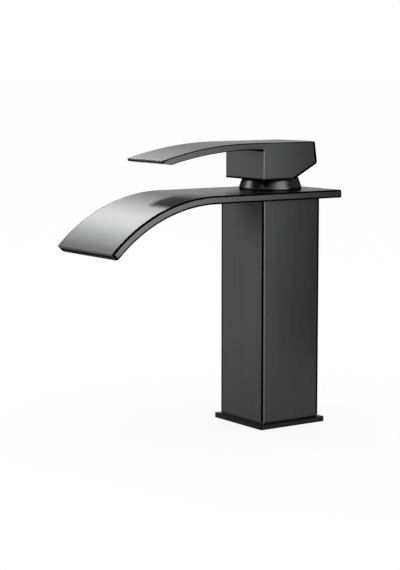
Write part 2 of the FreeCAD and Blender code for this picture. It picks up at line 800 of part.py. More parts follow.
def make_rotor():
    """Flanged collar with a slot for the stem, a pin hole and two cheeks that turn the carrier."""
    body = new_body("rotor")
    flange = new_sketch(body, "XY_Plane", ROTOR_BOTTOM)
    add_circle(flange, "0", "0", "sizes.rotor_flange_radius")
    pad(body, flange, "sizes.rotor_flange_thick")
    neck = new_sketch(body, "XY_Plane", ROTOR_SHOULDER)
    add_circle(neck, "0", "0", "sizes.rotor_neck_radius")
    pad(body, neck, f"{ROTOR_TOP} - {ROTOR_SHOULDER}")
    cheek_inner = "(sizes.carrier_half_width + sizes.cheek_fit)"
    cheek_outer = f"({cheek_inner} + sizes.cheek_thick)"
    cheeks = new_sketch(body, "XY_Plane", ROTOR_BOTTOM)
    for left, right in ((cheek_inner, cheek_outer), (f"-{cheek_outer}", f"-{cheek_inner}")):
        add_rectangle(cheeks, left, "-sizes.cheek_half_length", right, "sizes.cheek_half_length")
    pad(body, cheeks, "sizes.cheek_depth", reverse=True)
    slot = new_sketch(body, "XY_Plane", ROTOR_TOP)
    slot_half = "(sizes.stem_side / 2 + sizes.slot_fit)"
    add_rectangle(slot, f"-{slot_half}", "-sizes.rotor_slot_front", slot_half, "sizes.rotor_slot_rear")
    pocket(body, slot, f"{ROTOR_TOP} - {ROTOR_BOTTOM}")
    pin_hole = new_sketch(body, "YZ_Plane")
    add_circle(pin_hole, "0", PIN_HEIGHT, "sizes.pin_radius")
    pocket(body, pin_hole, f"{OVERRUN} * sizes.rotor_neck_radius", symmetric=True)
    return body


def make_pivot_pin():
    pin = doc.addObject("Part::Cylinder", "pivot_pin")
    pin.Label = "pivot_pin"
    pin.setExpression("Radius", "sizes.pin_radius")
    pin.setExpression("Height", "sizes.pin_length")
    pin.Placement = Placement(Vector(), Rotation(Vector(0, 1, 0), QUARTER_TURN))
    pin.setExpression("Placement.Base.x", "-sizes.pin_length / 2")
    pin.setExpression("Placement.Base.z", PIN_HEIGHT)
    return pin


def make_retaining_nut():
    body = new_body("retaining_nut")
    plan = new_sketch(body, "XY_Plane", HOUSING_TOP)
    add_circle(plan, "0", "0", "sizes.nut_radius")
    add_circle(plan, "0", "0", "sizes.nut_bore")
    pad(body, plan, "sizes.nut_height")
    notch_plan = new_sketch(body, "XY_Plane", f"{HOUSING_TOP} + sizes.nut_height")
    half = "(sizes.nut_notch_width / 2)"
    add_rectangle(notch_plan, f"-{half}", "0", half, f"{OVERRUN} * sizes.nut_radius")
    notch = pocket(body, notch_plan, "sizes.nut_notch_depth")
    notches = body.newObject("PartDesign::PolarPattern", "nut_notches")
    notches.Originals = [notch]
    notches.Axis = (origin_feature(body, "Z_Axis"), [""])
    notches.Angle = FULL_TURN
    notches.Occurrences = NUT_NOTCHES
    body.Tip = notches
    doc.recompute()
    return body


# Cover


def make_cone_cover():
    """Tapered cover over the collar, with a short upright rim and an open top."""
    body = new_body("cone_cover")
    top = f"({SPOUT_TOP} + sizes.cover_height)"
    step = f"({COLLAR_TOP} + sizes.cover_headroom)"
    mouth = f"({COVER_TOP_RADIUS} - sizes.cover_lip)"
    section = new_sketch(body, "XZ_Plane")
    add_outline(
        section,
        [
            (COVER_BORE, SPOUT_TOP),
            (COVER_RADIUS, SPOUT_TOP),
            (COVER_RADIUS, f"{SPOUT_TOP} + sizes.cover_rim"),
            (COVER_TOP_RADIUS, top),
            (mouth, top),
            (mouth, step),
            (COVER_BORE, step),
        ],
    )
    turned = revolve(body, section)
    top_height = value(top)
    outer = value(COVER_TOP_RADIUS)
    rim = edges_where(
        turned,
        lambda box, middle: box.ZMin > top_height - NEAR and box.XMax > outer - NEAR,
    )
    round_edges(body, turned, rim, "sizes.cover_edge")
    return body


def make_cover_o_ring():
    ring = doc.addObject("Part::Torus", "cover_o_ring")
    ring.Label = "cover_o_ring"
    ring.setExpression("Radius2", "sizes.ring_radius")
    ring.setExpression("Radius1", f"{COVER_BORE} - sizes.ring_radius - sizes.ring_fit")
    ring.setExpression("Placement.Base.z", f"{SPOUT_TOP} + sizes.ring_height")
    return ring


# Lever


def make_stem():
    """Square stem above, neck and ball below, with the pivot hole across it."""
    body = new_body("stem")
    square = new_sketch(body, "XY_Plane", STEM_BOTTOM)
    add_square(square, "(sizes.stem_side / 2)")
    pad(body, square, f"{STEM_TOP} - {STEM_BOTTOM}")
    neck_foot = f"({BALL_HEIGHT} + sqrt(sizes.ball_radius^2 - sizes.stem_neck_radius^2))"
    ball = new_sketch(body, "XZ_Plane")
    add_outline(
        ball,
        [
            ("0", f"{BALL_HEIGHT} - sizes.ball_radius", "sizes.ball_radius", LEFT),
            ("sizes.ball_radius", BALL_HEIGHT, "sizes.ball_radius", LEFT),
            ("sizes.stem_neck_radius", neck_foot),
            ("sizes.stem_neck_radius", STEM_BOTTOM),
            ("0", STEM_BOTTOM),
        ],
    )
    revolve(body, ball)
    pin_hole = new_sketch(body, "YZ_Plane")
    add_circle(pin_hole, "0", PIN_HEIGHT, "sizes.pin_radius + sizes.pin_fit")
    pocket(body, pin_hole, f"{OVERRUN} * sizes.stem_side", symmetric=True)
    return body


def lever_outline():
    """Side view of the block and the lever: flat, then bending down to a thinned tip."""
    bend_centre = f"({HANDLE_TOP} - sizes.lever_bend_radius)"
    under_radius = "(sizes.lever_bend_radius - sizes.lever_thick)"
    bent_reach = "(sizes.lever_reach - sizes.lever_bend_start)"
    tip_top = f"({bend_centre} + sqrt(sizes.lever_bend_radius^2 - {bent_reach}^2))"
    bevel = "(sizes.lever_reach - sizes.lever_tip_bevel)"
    bevel_under = f"({bend_centre} + sqrt({under_radius}^2 - ({bevel} - sizes.lever_bend_start)^2))"
    lever_under = f"({HANDLE_TOP} - sizes.lever_thick)"
    heel_rise = f"({HANDLE_BOTTOM} + (sizes.handle_back - sizes.heel_start) * tan(sizes.heel_angle))"
    return [
        ("-sizes.handle_front", HANDLE_BOTTOM),
        ("sizes.heel_start", HANDLE_BOTTOM),
        ("sizes.handle_back", heel_rise),
        ("sizes.handle_back", HANDLE_TOP),
        ("-sizes.lever_bend_start", HANDLE_TOP, "sizes.lever_bend_radius", LEFT),
        ("-sizes.lever_reach", tip_top),
        ("-sizes.lever_reach", f"{tip_top} - sizes.lever_tip_thick"),
        (f"-{bevel}", bevel_under, under_radius, RIGHT),
        ("-sizes.lever_bend_start", lever_under),
        ("-sizes.handle_front", lever_under),
    ]


def cut_bowed_back(body):
    """Trims the block's rear to a face that bows outwards and leans forwards."""
    beyond = "(sizes.handle_width / 2 + sizes.handle_wall)"
    radius = "sizes.handle_back_radius"
    arc_end = f"(sizes.handle_back - {radius} + sqrt({radius}^2 - {beyond}^2))"
    outside = f"{OVERRUN} * sizes.handle_back"
    lean = Rotation(Vector(1, 0, 0), value("sizes.handle_back_lean"))
    plan = new_sketch(body, "XY_Plane", HANDLE_BOTTOM)
    plan.AttachmentOffset = Placement(Vector(), lean)
    plan.setExpression("AttachmentOffset.Rotation.Angle", "sizes.handle_back_lean")
    plan.setExpression("AttachmentOffset.Base.z", HANDLE_BOTTOM)
    add_outline(
        plan,
        [
            (beyond, arc_end, radius, LEFT),
            (f"-{beyond}", arc_end),
            (f"-{beyond}", outside),
            (beyond, outside),
        ],
    )
    return pocket(body, plan, f"{OVERRUN} * {radius}", symmetric=True)


def hollow_handle(body):
    """Opens the block from below, leaving the walls, and hangs the stem's boss from the roof."""
    hollow_half = "(sizes.handle_width / 2 - sizes.handle_wall)"
    hollow = new_sketch(body, "XY_Plane", HANDLE_BOTTOM)
    add_rectangle(
        hollow,
        f"-{hollow_half}",
        "-(sizes.handle_front - sizes.handle_wall)",
        hollow_half,
        "sizes.handle_hollow_rear",
    )
    pocket(body, hollow, "sizes.handle_height - sizes.handle_roof", reverse=True)
    boss = new_sketch(body, "XY_Plane", HANDLE_CEILING)
    add_circle(boss, "0", "0", "sizes.boss_radius")
    pad(body, boss, "sizes.boss_length", reverse=True)
    socket = new_sketch(body, "XY_Plane", BOSS_BOTTOM)
    add_square(socket, STEM_SOCKET_HALF)
    pocket(body, socket, "sizes.boss_length - sizes.stem_top_gap + sizes.stem_fit", reverse=True)
    screw_hole = new_sketch(body, "XZ_Plane")
    add_circle(screw_hole, "0", GRUB_HEIGHT, GRUB_HOLE)
    pocket(body, screw_hole, f"{OVERRUN} * sizes.handle_back")
    plug_bed = new_sketch(body, "XZ_Plane", "-sizes.screw_plug_seat")
    add_circle(plug_bed, "0", GRUB_HEIGHT, "sizes.screw_plug_radius + sizes.grub_fit")
    pocket(body, plug_bed, "sizes.handle_back")


def make_lever_handle():
    body = new_body("lever_handle")
    side_view = new_sketch(body, "YZ_Plane")
    add_outline(side_view, lever_outline())
    pad(body, side_view, "sizes.handle_width", symmetric=True)
    trimmed = cut_bowed_back(body)
    front = value("-sizes.handle_front")
    lever_under = value(f"{HANDLE_TOP} - sizes.lever_thick")
    root = edges_where(
        trimmed,
        lambda box, middle: abs(middle.y - front) < NEAR and abs(middle.z - lever_under) < NEAR,
    )
    rooted = round_edges(body, trimmed, root, "sizes.lever_root")
    handle_top = value(HANDLE_TOP)
    hollow_rear = value("sizes.handle_hollow_rear")
    rear = edges_where(
        rooted,
        lambda box, middle: middle.y > hollow_rear and middle.z < handle_top - NEAR,
    )
    rounded = round_edges(body, rooted, rear, "sizes.handle_back_edge")
    half = value("sizes.handle_width / 2")
    bend_start = value("-sizes.lever_bend_start")
    bend_centre = handle_top - value("sizes.lever_bend_radius")
    mid_radius = value("sizes.lever_bend_radius - sizes.lever_thick / 2")
    tip_front = value("-sizes.lever_reach")
    tip_middle = bend_centre + math.sqrt(mid_radius**2 - (tip_front - bend_start) ** 2)

    def is_outer_edge(box, middle):
        """Edges along the top and the front corners, which carry on along the lever's underside."""
        on_side = abs(middle.x) > half - NEAR
        flat_top = box.ZMin > handle_top - NEAR
        bent_top = (
            box.YMax < bend_start + NEAR
            and box.YLength > value("sizes.lever_tip_bevel") + NEAR
            and math.hypot(middle.y - bend_start, middle.z - bend_centre) > mid_radius
        )
        front_corner = on_side and is_upright(box) and abs(middle.y - front) < NEAR
        tip_top = box.YMax < tip_front + NEAR and box.XLength > half and middle.z > tip_middle
        on_top = flat_top and (on_side or middle.y > 0)
        return on_top or (on_side and bent_top) or front_corner or tip_top

    round_edges(body, rounded, edges_where(rounded, is_outer_edge), "sizes.handle_edge")
    hollow_handle(body)
    return body


def make_grub_screw():
    """Set screw that bears on the stem, with a hexagon socket towards the rear."""
    body = new_body("grub_screw")
    screw_rear = "(sizes.stem_side / 2 + sizes.grub_length)"
    section = new_sketch(body, "XZ_Plane", "-sizes.stem_side / 2")
    add_circle(section, "0", GRUB_HEIGHT, "sizes.grub_radius")
    pad(body, section, "sizes.grub_length", reverse=True)
    socket = new_sketch(body, "XZ_Plane", f"-{screw_rear}")
    corner = "(sizes.grub_hex_flat / sqrt(3))"
    add_outline(
        socket,
        [
            (
                f"{corner} * cos({FULL_TURN} / {HEX_SIDES} * {number})",
                f"{GRUB_HEIGHT} + {corner} * sin({FULL_TURN} / {HEX_SIDES} * {number})",
            )
            for number in range(HEX_SIDES)
        ],
    )
    pocket(body, socket, "sizes.grub_hex_depth", reverse=True)
    return body


def make_screw_plug():
    body = new_body("screw_plug")
    section = new_sketch(body, "XZ_Plane", "-sizes.screw_plug_seat")
    add_circle(section, "0", GRUB_HEIGHT, "sizes.screw_plug_radius")
    pad(body, section, "sizes.screw_plug_length", reverse=True)
    return body


# Assembly


def make_all():
    return [
        make_base_plate(),
        make_base_gasket(),
        make_column_shell(),
        make_foot_block(),
        make_feed_pipe("hot_feed_pipe", "-1"),
        make_feed_pipe("cold_feed_pipe", "1"),
        make_feed_pipe_seals(),
        make_valve_body(),
        make_gallery_plugs(),
        make_spout_top_plate(),
        make_spout_bottom_plate(),
        make_cartridge_housing(),
        make_cartridge_base(),
        make_port_seals(),
        make_fixed_disc(),
        make_moving_disc(),
        make_disc_carrier(),
        make_rotor(),
        make_pivot_pin(),
        make_retaining_nut(),
        make_cone_cover(),
        make_cover_o_ring(),
        make_stem(),
        make_lever_handle(),
        make_grub_screw(),
        make_screw_plug(),
    ]


def check(pieces):
    """Stops on any failed object and on any piece without a valid solid."""
    failed = [o.Name for o in doc.Objects if "Invalid" in o.State or "Error" in o.State]
    if failed:
        raise RuntimeError(f"failed objects: {failed}")
    for piece in pieces:
        if piece.Shape.isNull() or not piece.Shape.isValid() or not piece.Shape.Solids:
            raise RuntimeError(f"{piece.Label} has no valid solid")


def export(pieces):
    os.makedirs("parts", exist_ok=True)
    for piece in pieces:
        piece.Shape.exportStep(f"parts/{piece.Label}.step")


fill_sheet()
all_pieces = make_all()
doc.recompute()
check(all_pieces)
export(all_pieces)
for piece in all_pieces:
    print(f"{piece.Label}: {len(piece.Shape.Solids)} solid(s), {piece.Shape.Volume:.1f} mm3")
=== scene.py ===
"""Single-lever basin mixer with a flat waterfall spout, dressed for a studio picture."""

import json
import math

import bpy
from bpy.props import FloatProperty, FloatVectorProperty, PointerProperty
from bpy.types import Operator, Panel, PropertyGroup
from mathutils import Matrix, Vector


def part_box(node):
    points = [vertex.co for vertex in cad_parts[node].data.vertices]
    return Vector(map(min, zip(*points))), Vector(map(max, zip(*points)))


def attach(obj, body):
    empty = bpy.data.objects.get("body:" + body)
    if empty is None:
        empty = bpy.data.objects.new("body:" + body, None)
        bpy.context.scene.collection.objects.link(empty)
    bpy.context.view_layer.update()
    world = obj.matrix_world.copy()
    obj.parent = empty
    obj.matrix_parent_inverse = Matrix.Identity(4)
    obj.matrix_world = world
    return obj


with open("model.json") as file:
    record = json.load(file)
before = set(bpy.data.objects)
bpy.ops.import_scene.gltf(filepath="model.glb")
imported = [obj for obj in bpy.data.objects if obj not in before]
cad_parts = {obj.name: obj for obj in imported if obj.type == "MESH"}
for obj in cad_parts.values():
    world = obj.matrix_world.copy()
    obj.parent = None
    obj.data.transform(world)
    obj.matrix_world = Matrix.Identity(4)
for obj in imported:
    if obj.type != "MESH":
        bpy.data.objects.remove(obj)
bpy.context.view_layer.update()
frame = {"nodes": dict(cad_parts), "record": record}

bl_info = {
    "name": "Basin mixer",
    "version": (1, 0, 0),
    "blender": (4, 5, 0),
    "location": "View3D > Sidebar > Mixer",
    "description": "Finishes the basin mixer's pieces and sets up its studio",
    "category": "Object",
}

NODES = frame["nodes"]
MM = 0.001

# The pieces that share a finish.
COLUMN = ("column_shell",)
BASE = ("base_plate",)
SPOUT = ("spout_top_plate", "spout_bottom_plate")
HANDLE = ("lever_handle",)
COVER = ("cone_cover",)
WATERWAYS = ("foot_block", "valve_body", "gallery_plugs", "retaining_nut")
FEED_PIPES = ("hot_feed_pipe", "cold_feed_pipe")
PINS = ("stem", "pivot_pin", "grub_screw")
SEALS = ("base_gasket", "feed_pipe_seals", "port_seals", "cover_o_ring")
HOUSING = ("cartridge_housing", "cartridge_base")
ROTOR = ("rotor", "disc_carrier")
DISCS = ("fixed_disc", "moving_disc")
SCREW_PLUG = ("screw_plug",)

# Where pieces lie: their lowest and highest corners, the column's half width, and the stem's front.
COLUMN_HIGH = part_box("column_shell")[1]
COLUMN_HALF = COLUMN_HIGH.x
SPOUT_LOW, SPOUT_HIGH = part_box("spout_top_plate")
HANDLE_LOW, HANDLE_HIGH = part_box("lever_handle")
COVER_LOW, COVER_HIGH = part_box("cone_cover")
STEM_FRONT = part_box("stem")[0].y

# The spout's bend: where it starts, its outer radius, and the spout's thickness.
SPOUT_BEND_START = -0.06
SPOUT_BEND_RADIUS = 0.09616
SPOUT_THICKNESS = 0.00466
# The lever's thickness, its underside at the root, and the height of the middle of its tip.
LEVER_THICKNESS = 3.9 * MM
LEVER_UNDERSIDE = HANDLE_HIGH.z - LEVER_THICKNESS
TIP_MIDDLE = 0.1583
# The block from the side: its rear at the lowest edge, how far the rear leans, where the heel starts
# and how steep it is.
BLOCK_REAR = 0.02217
REAR_LEAN = math.tan(math.radians(7.9))
HEEL_START = 0.0034
HEEL_SLOPE = math.tan(math.radians(27.6))

# How light the plating is on some pieces against its own colour, and how dark painted shade makes it.
# The column's lighter tone is painted light on its front; column_shade paints its right side darker
# again.
COLUMN_TONE = 1.12
BASE_TONE = 0.33
HANDLE_TONE = 1.25
PAINTED_SHADE_TONE = 0.3

# Brush lines: how fine the grain is along x, y and z, in cycles for each metre.
COLUMN_BRUSH = (2600.0, 2600.0, 26.0)
BASE_BRUSH = (26.0, 2600.0, 2600.0)
SPOUT_BRUSH = (2600.0, 26.0, 26.0)
HANDLE_BRUSH = (2600.0, 40.0, 2600.0)
GRAIN_TONES = (0.98, 1.02)
GRAIN_GLOSS = (0.97, 1.03)
GRAIN_DEPTH = 0.01 * MM
GRAIN_STRENGTH = 0.018
# Streaks: a share of the grain's fineness, but no coarser than the least; their tone and strength.
STREAK_SHARE = 0.12
STREAK_LEAST = 20.0
STREAK_TONE = 0.86
STREAK_STRENGTH = 0.6
# Clouds: how fine they are, their tone and strength.
CLOUD_PACE = 18.0
CLOUD_TONE = 0.9
CLOUD_STRENGTH = 0.3

# The part of a noise's range that a finish uses, from none to all of its effect.
NOISE_WIDE = (0.2, 0.8)
NOISE_MIDDLE = (0.25, 0.75)
NOISE_CORE = (0.3, 0.7)
NOISE_UPPER = (0.45, 0.75)
NOISE_BROAD = (0.35, 0.7)
# How many finer layers a noise has, and how strong they are.
FINE_DETAIL = 4.0
PLAIN_DETAIL = 3.0
SOFT_DETAIL = 2.0
NOISE_ROUGHNESS = 0.6

# How far a surface leans along an axis, from where a mask begins to change to where it has changed.
FACES_DOWN = (-0.6, -0.4)
FACES_FRONT = (-0.8, -0.5)
LEANS_FRONT = (-0.5, -0.2)
TURNS_FRONT = (-0.25, -0.05)
FACES_FRONT_AND_DOWN = (-1.2, -1.0)
FACES_REAR = (0.1, 0.2)
HALF_TURNED = (0.4, 0.6)
MOSTLY_TURNED = (0.5, 0.8)
TURNED_ASIDE = (0.7, 0.9)
SQUARE_ASIDE = (0.88, 0.98)
LIES_LEVEL = (0.98, 0.999)
FLAT_FACE = (0.91, 0.985)
ROUND_BEGINS = (0.05, 0.2)
ROUND_ENDS = (0.95, 0.995)
CORNER_ROUND = (0.3, 0.7)
OFF_SIDE = (0.2, 0.4)
UPRIGHT = (0.3, 0.5)

# How soft a border is: a black line's, a fine line's, at the tip's corners, and down the block's middle.
LINE_SOFT = 0.2 * MM
FINE_SOFT = 0.15 * MM
TIP_CORNER_SOFT = 0.3 * MM
MIDDLE_SOFT = 1.0 * MM
# Where black fades out: before the column's nearest corner, behind its front, behind the lever's tip,
# at half the tip's height, beside the tip's corners, and above the block's foot.
CORNER_FADE = (0.0, 1.0 * MM)
FRONT_SKIN = (0.1 * MM, 0.4 * MM)
TIP_SKIN = (0.2 * MM, 0.5 * MM)
TIP_HALF = (-0.5 * MM, 0.5 * MM)
TIP_CORNER = 1.2 * MM
BLOCK_FOOT = (0.4 * MM, 1.6 * MM)
# Width of the painted shadow line under the lever, at the block's left side and at its right side.
ROOT_LINE = (0.3 * MM, 1.2 * MM)
# How much less of the round is black on the block's rear.
REAR_ROUND = 0.45
# How much of the spout's end face is painted dark, as painted shade.
END_SHADE = 0.4

# Painted shade: how far each patch reaches and how strong it is.
FOOT_SHADE = (0.0, 75.0 * MM)
FOOT_STRENGTH = 0.4
SIDE_STRENGTH = 0.15
HEAD_SHADE = (-30.0 * MM, -3.0 * MM)
HEAD_RIGHT = (-12.0 * MM, 12.0 * MM)
SPOUT_TIP_SHADE = (0.0, 6.0 * MM)
SPOUT_TIP_STRENGTH = 0.6
COVER_SHADE = (-0.5 * MM, 9.0 * MM)
COVER_STRENGTH = 0.95
LEVER_SIDE = (-20.0 * MM, -12.0 * MM)
LEVER_SIDE_STRENGTH = 0.4

# Painted highlights: the line beside the column's corner, its strength by height, and the block's
# corner.
HIGHLIGHT_START = 0.8 * MM
HIGHLIGHT_STOP = 1.9 * MM
HIGHLIGHT_HEIGHTS = (35.0 * MM, 115.0 * MM)
HIGHLIGHT_STRENGTHS = (0.5, 0.1)
BLOCK_HIGHLIGHT = (-1.5 * MM, 0.0)
BLOCK_HIGHLIGHT_STRENGTH = 0.3

# The cover: clouding, gloss, the shine it keeps at a glancing look, turning lines and painted shade at
# its foot.
COVER_CLOUD_PACE = 60.0
COVER_TONES = (0.9, 1.1)
COVER_GLOSS = (0.25, 0.29)
COVER_EDGE = 0.3
COVER_TURNING = (20.0, 20.0, 3000.0)
TURNING_DEPTH = 0.002 * MM
TURNING_STRENGTH = 0.02
COVER_FOOT = (0.3 * MM, 1.8 * MM)

# Bare metal: tool lines, and tarnish in patches.
TURNED_LINES = (60.0, 60.0, 2400.0)
DRAWN_LINES = (1800.0, 1800.0, 60.0)
TOOL_TONES = (0.9, 1.08)
TOOL_GLOSS = (0.8, 1.2)
TOOL_DEPTH = 0.02 * MM
TOOL_STRENGTH = 0.15
TARNISH_PACE = 140.0
TARNISH_STRENGTH = 0.6
TARNISH_ROUGHNESS = 0.15

# Moulded pieces: flow marks, uneven gloss, the skin's relief and the roughness of a coat.
FLOW_MARKS = (70.0, 70.0, 240.0)
FLOW_TONE = 0.82
FLOW_STRENGTH = 0.35
FLOW_GLOSS = (0.85, 1.15)
SKIN_STRENGTH = 0.25
COAT_ROUGHNESS = 0.1

# Threads: steps in a turn, how far the ridge sinks into the wall, and its half widths in pitches.
THREAD_STEPS = 48
THREAD_BURY = 0.05 * MM
ROOT_SHARE = 0.45
CREST_SHARE = 0.07
# Turns over which the ridge thins out at each end.
FADE_TURNS = 0.5

# Studio: the backdrop's grey by height of the sightline, and the even light on dull surfaces.
BACKDROP = (
    (0.0, 1.0),
    (0.045, 1.0),
    (0.065, 0.7),
    (0.22, 0.75),
    (0.32, 0.4),
    (0.45, 0.6),
    (0.8, 0.6),
    (1.0, 0.4),
)
SOFT_LIGHT = (1.0, 1.0, 1.0)
# Floor: its radius, its corners, and how much of it is white whatever falls on it.
FLOOR_RADIUS = 60.0
FLOOR_CORNERS = 96
FLOOR_GLOW = 0.85
# Roughness of the floor and the card, and the camera's sensor in millimetres.
MATT = 0.9
SENSOR_WIDTH = 36.0
# Card: its two ends on the floor, and its height.
CARD_ENDS = ((0.18, 0.115), (0.14, 0.5))
CARD_HEIGHT = 0.3
# Lamps: name, place, point faced, width, height, brightness.
LAMPS = (
    ("lamp_back_left", (-0.92, 0.005, 0.94), (0.0, 0.0, 0.1), 0.15, 0.15, 250.0),
    ("lamp_right", (0.6, 0.05, 0.25), (0.0, 0.05, 0.25), 0.5, 0.5, 5.6),
    ("lamp_left", (-0.72, -0.9, 0.48), (0.0, 0.0, 0.1), 0.62, 0.5, 5.0),
)

# Sockets of Blender's mix node when it mixes colours.
MIX_SHARE = 0
MIX_FIRST = 6
MIX_SECOND = 7
MIX_COLOUR = 2


def grey(level):
    return (level, level, level)


def colour_property(label, about, colour):
    return FloatVectorProperty(
        name=label, description=about, subtype="COLOR", size=3, min=0.0, max=1.0, default=colour
    )


def roughness_property(label, about, roughness):
    return FloatProperty(
        name=label, description=about, subtype="FACTOR", min=0.05, max=1.0, default=roughness
    )


def width_property(label, about, width, least=0.0):
    return FloatProperty(
        name=label, description=about, subtype="DISTANCE", unit="LENGTH",
        precision=5, min=least, default=width,
    )


class MixerFinish(PropertyGroup):
    plating: colour_property("Plating", "Brushed plating on the outside", (0.0523, 0.0531, 0.0528))
    # The colour of the painted dark lines on the edges, which stand in for their dark reflections and
    # shadows.
    painted_edge_dark: colour_property("Plating edges", "Painted dark reflections and shadows on the edges", grey(0.0015))
    # Painted highlight: the colour of the lines where corners catch the light.
    plating_highlight: colour_property("Painted highlight", "Painted highlight beside corners", grey(0.13))
    plating_roughness: roughness_property("Plating roughness", "Satin of the brushed sides", 0.28)
    top_roughness: roughness_property("Bent top roughness", "Satin of the bent upper faces", 0.55)
    level_roughness: roughness_property("Level top roughness", "Satin of the level upper faces", 0.34)
    cover_black: colour_property("Cover", "Polished dark plating of the tapered cover", grey(0.06))
    brass: colour_property("Brass", "Turned brass of the waterways", (0.65, 0.42, 0.14))
    copper: colour_property("Copper", "Drawn copper of the feed pipes", (0.72, 0.32, 0.17))
    steel: colour_property("Steel", "Ground steel of the stem and pins", grey(0.42))
    rubber: colour_property("Rubber", "Moulded black rubber of the seals", grey(0.02))
    housing: colour_property("Housing", "Moulded plastic of the housing", (0.55, 0.56, 0.54))
    rotor: colour_property("Rotor", "Moulded plastic of the rotor", (0.06, 0.1, 0.2))
    ceramic: colour_property("Ceramic", "Lapped ceramic of the discs", (0.82, 0.8, 0.76))
    plug: colour_property("Screw plug", "Moulded plastic of the screw plug", grey(0.03))


# Widths of the painted dark lines, which stand in for the dark reflections and shadows on the edges.
class MixerEdges(PropertyGroup):
    column: width_property("Column corners", "Black on the column's outer corners", 2.0 * MM)
    column_front: width_property("Column front corner", "Black beside the nearest corner", 1.3 * MM)
    base_foot: width_property("Base foot", "Black above the gasket", 0.5 * MM)
    spout_top: width_property("Spout top", "Black along the spout's upper edges", 1.4 * MM)
    spout_lower: width_property("Spout underside", "Black along the spout's lower edges", 1.0 * MM)
    spout_rear: width_property("Spout rear", "Black on the spout's rear corners", 1.2 * MM)
    lever: width_property("Lever", "Black along the lever's upper edges", 0.9 * MM)
    block_rear: width_property("Block rear", "Black on the block's rear corners", 2.1 * MM)
    block_heel: width_property("Block heel", "Black along the block's sloping heel", 1.5 * MM)


class MixerThreads(PropertyGroup):
    pitch: width_property("Pitch", "Rise of the thread in a turn", 1.0 * MM, least=0.2 * MM)
    depth: width_property("Depth", "How far the ridge stands in from the wall", 0.5 * MM)
    start: width_property("Start", "How far in the thread starts", 0.6 * MM)


class MixerStudio(PropertyGroup):
    camera_place: FloatVectorProperty(
        name="Camera", description="Where the camera stands", subtype="XYZ", unit="LENGTH", size=3,
        default=(0.7916, -0.6033, 0.2078),
    )
    camera_turn: FloatProperty(
        name="Camera turn", description="Heading of the camera from +Y", subtype="ANGLE",
        default=math.radians(55.086),
    )
    camera_dip: FloatProperty(
        name="Camera dip", description="How far the camera looks down", subtype="ANGLE",
        default=math.radians(7.236),
    )
    lens: FloatProperty(
        name="Lens", description="Focal length on a 36 mm sensor", unit="CAMERA",
        default=105.93, min=10.0,
    )
    floor_colour: colour_property("Floor", "Pale floor", grey(0.97))
    card_colour: colour_property("Card", "Dark card that gloss sees", grey(0.08))


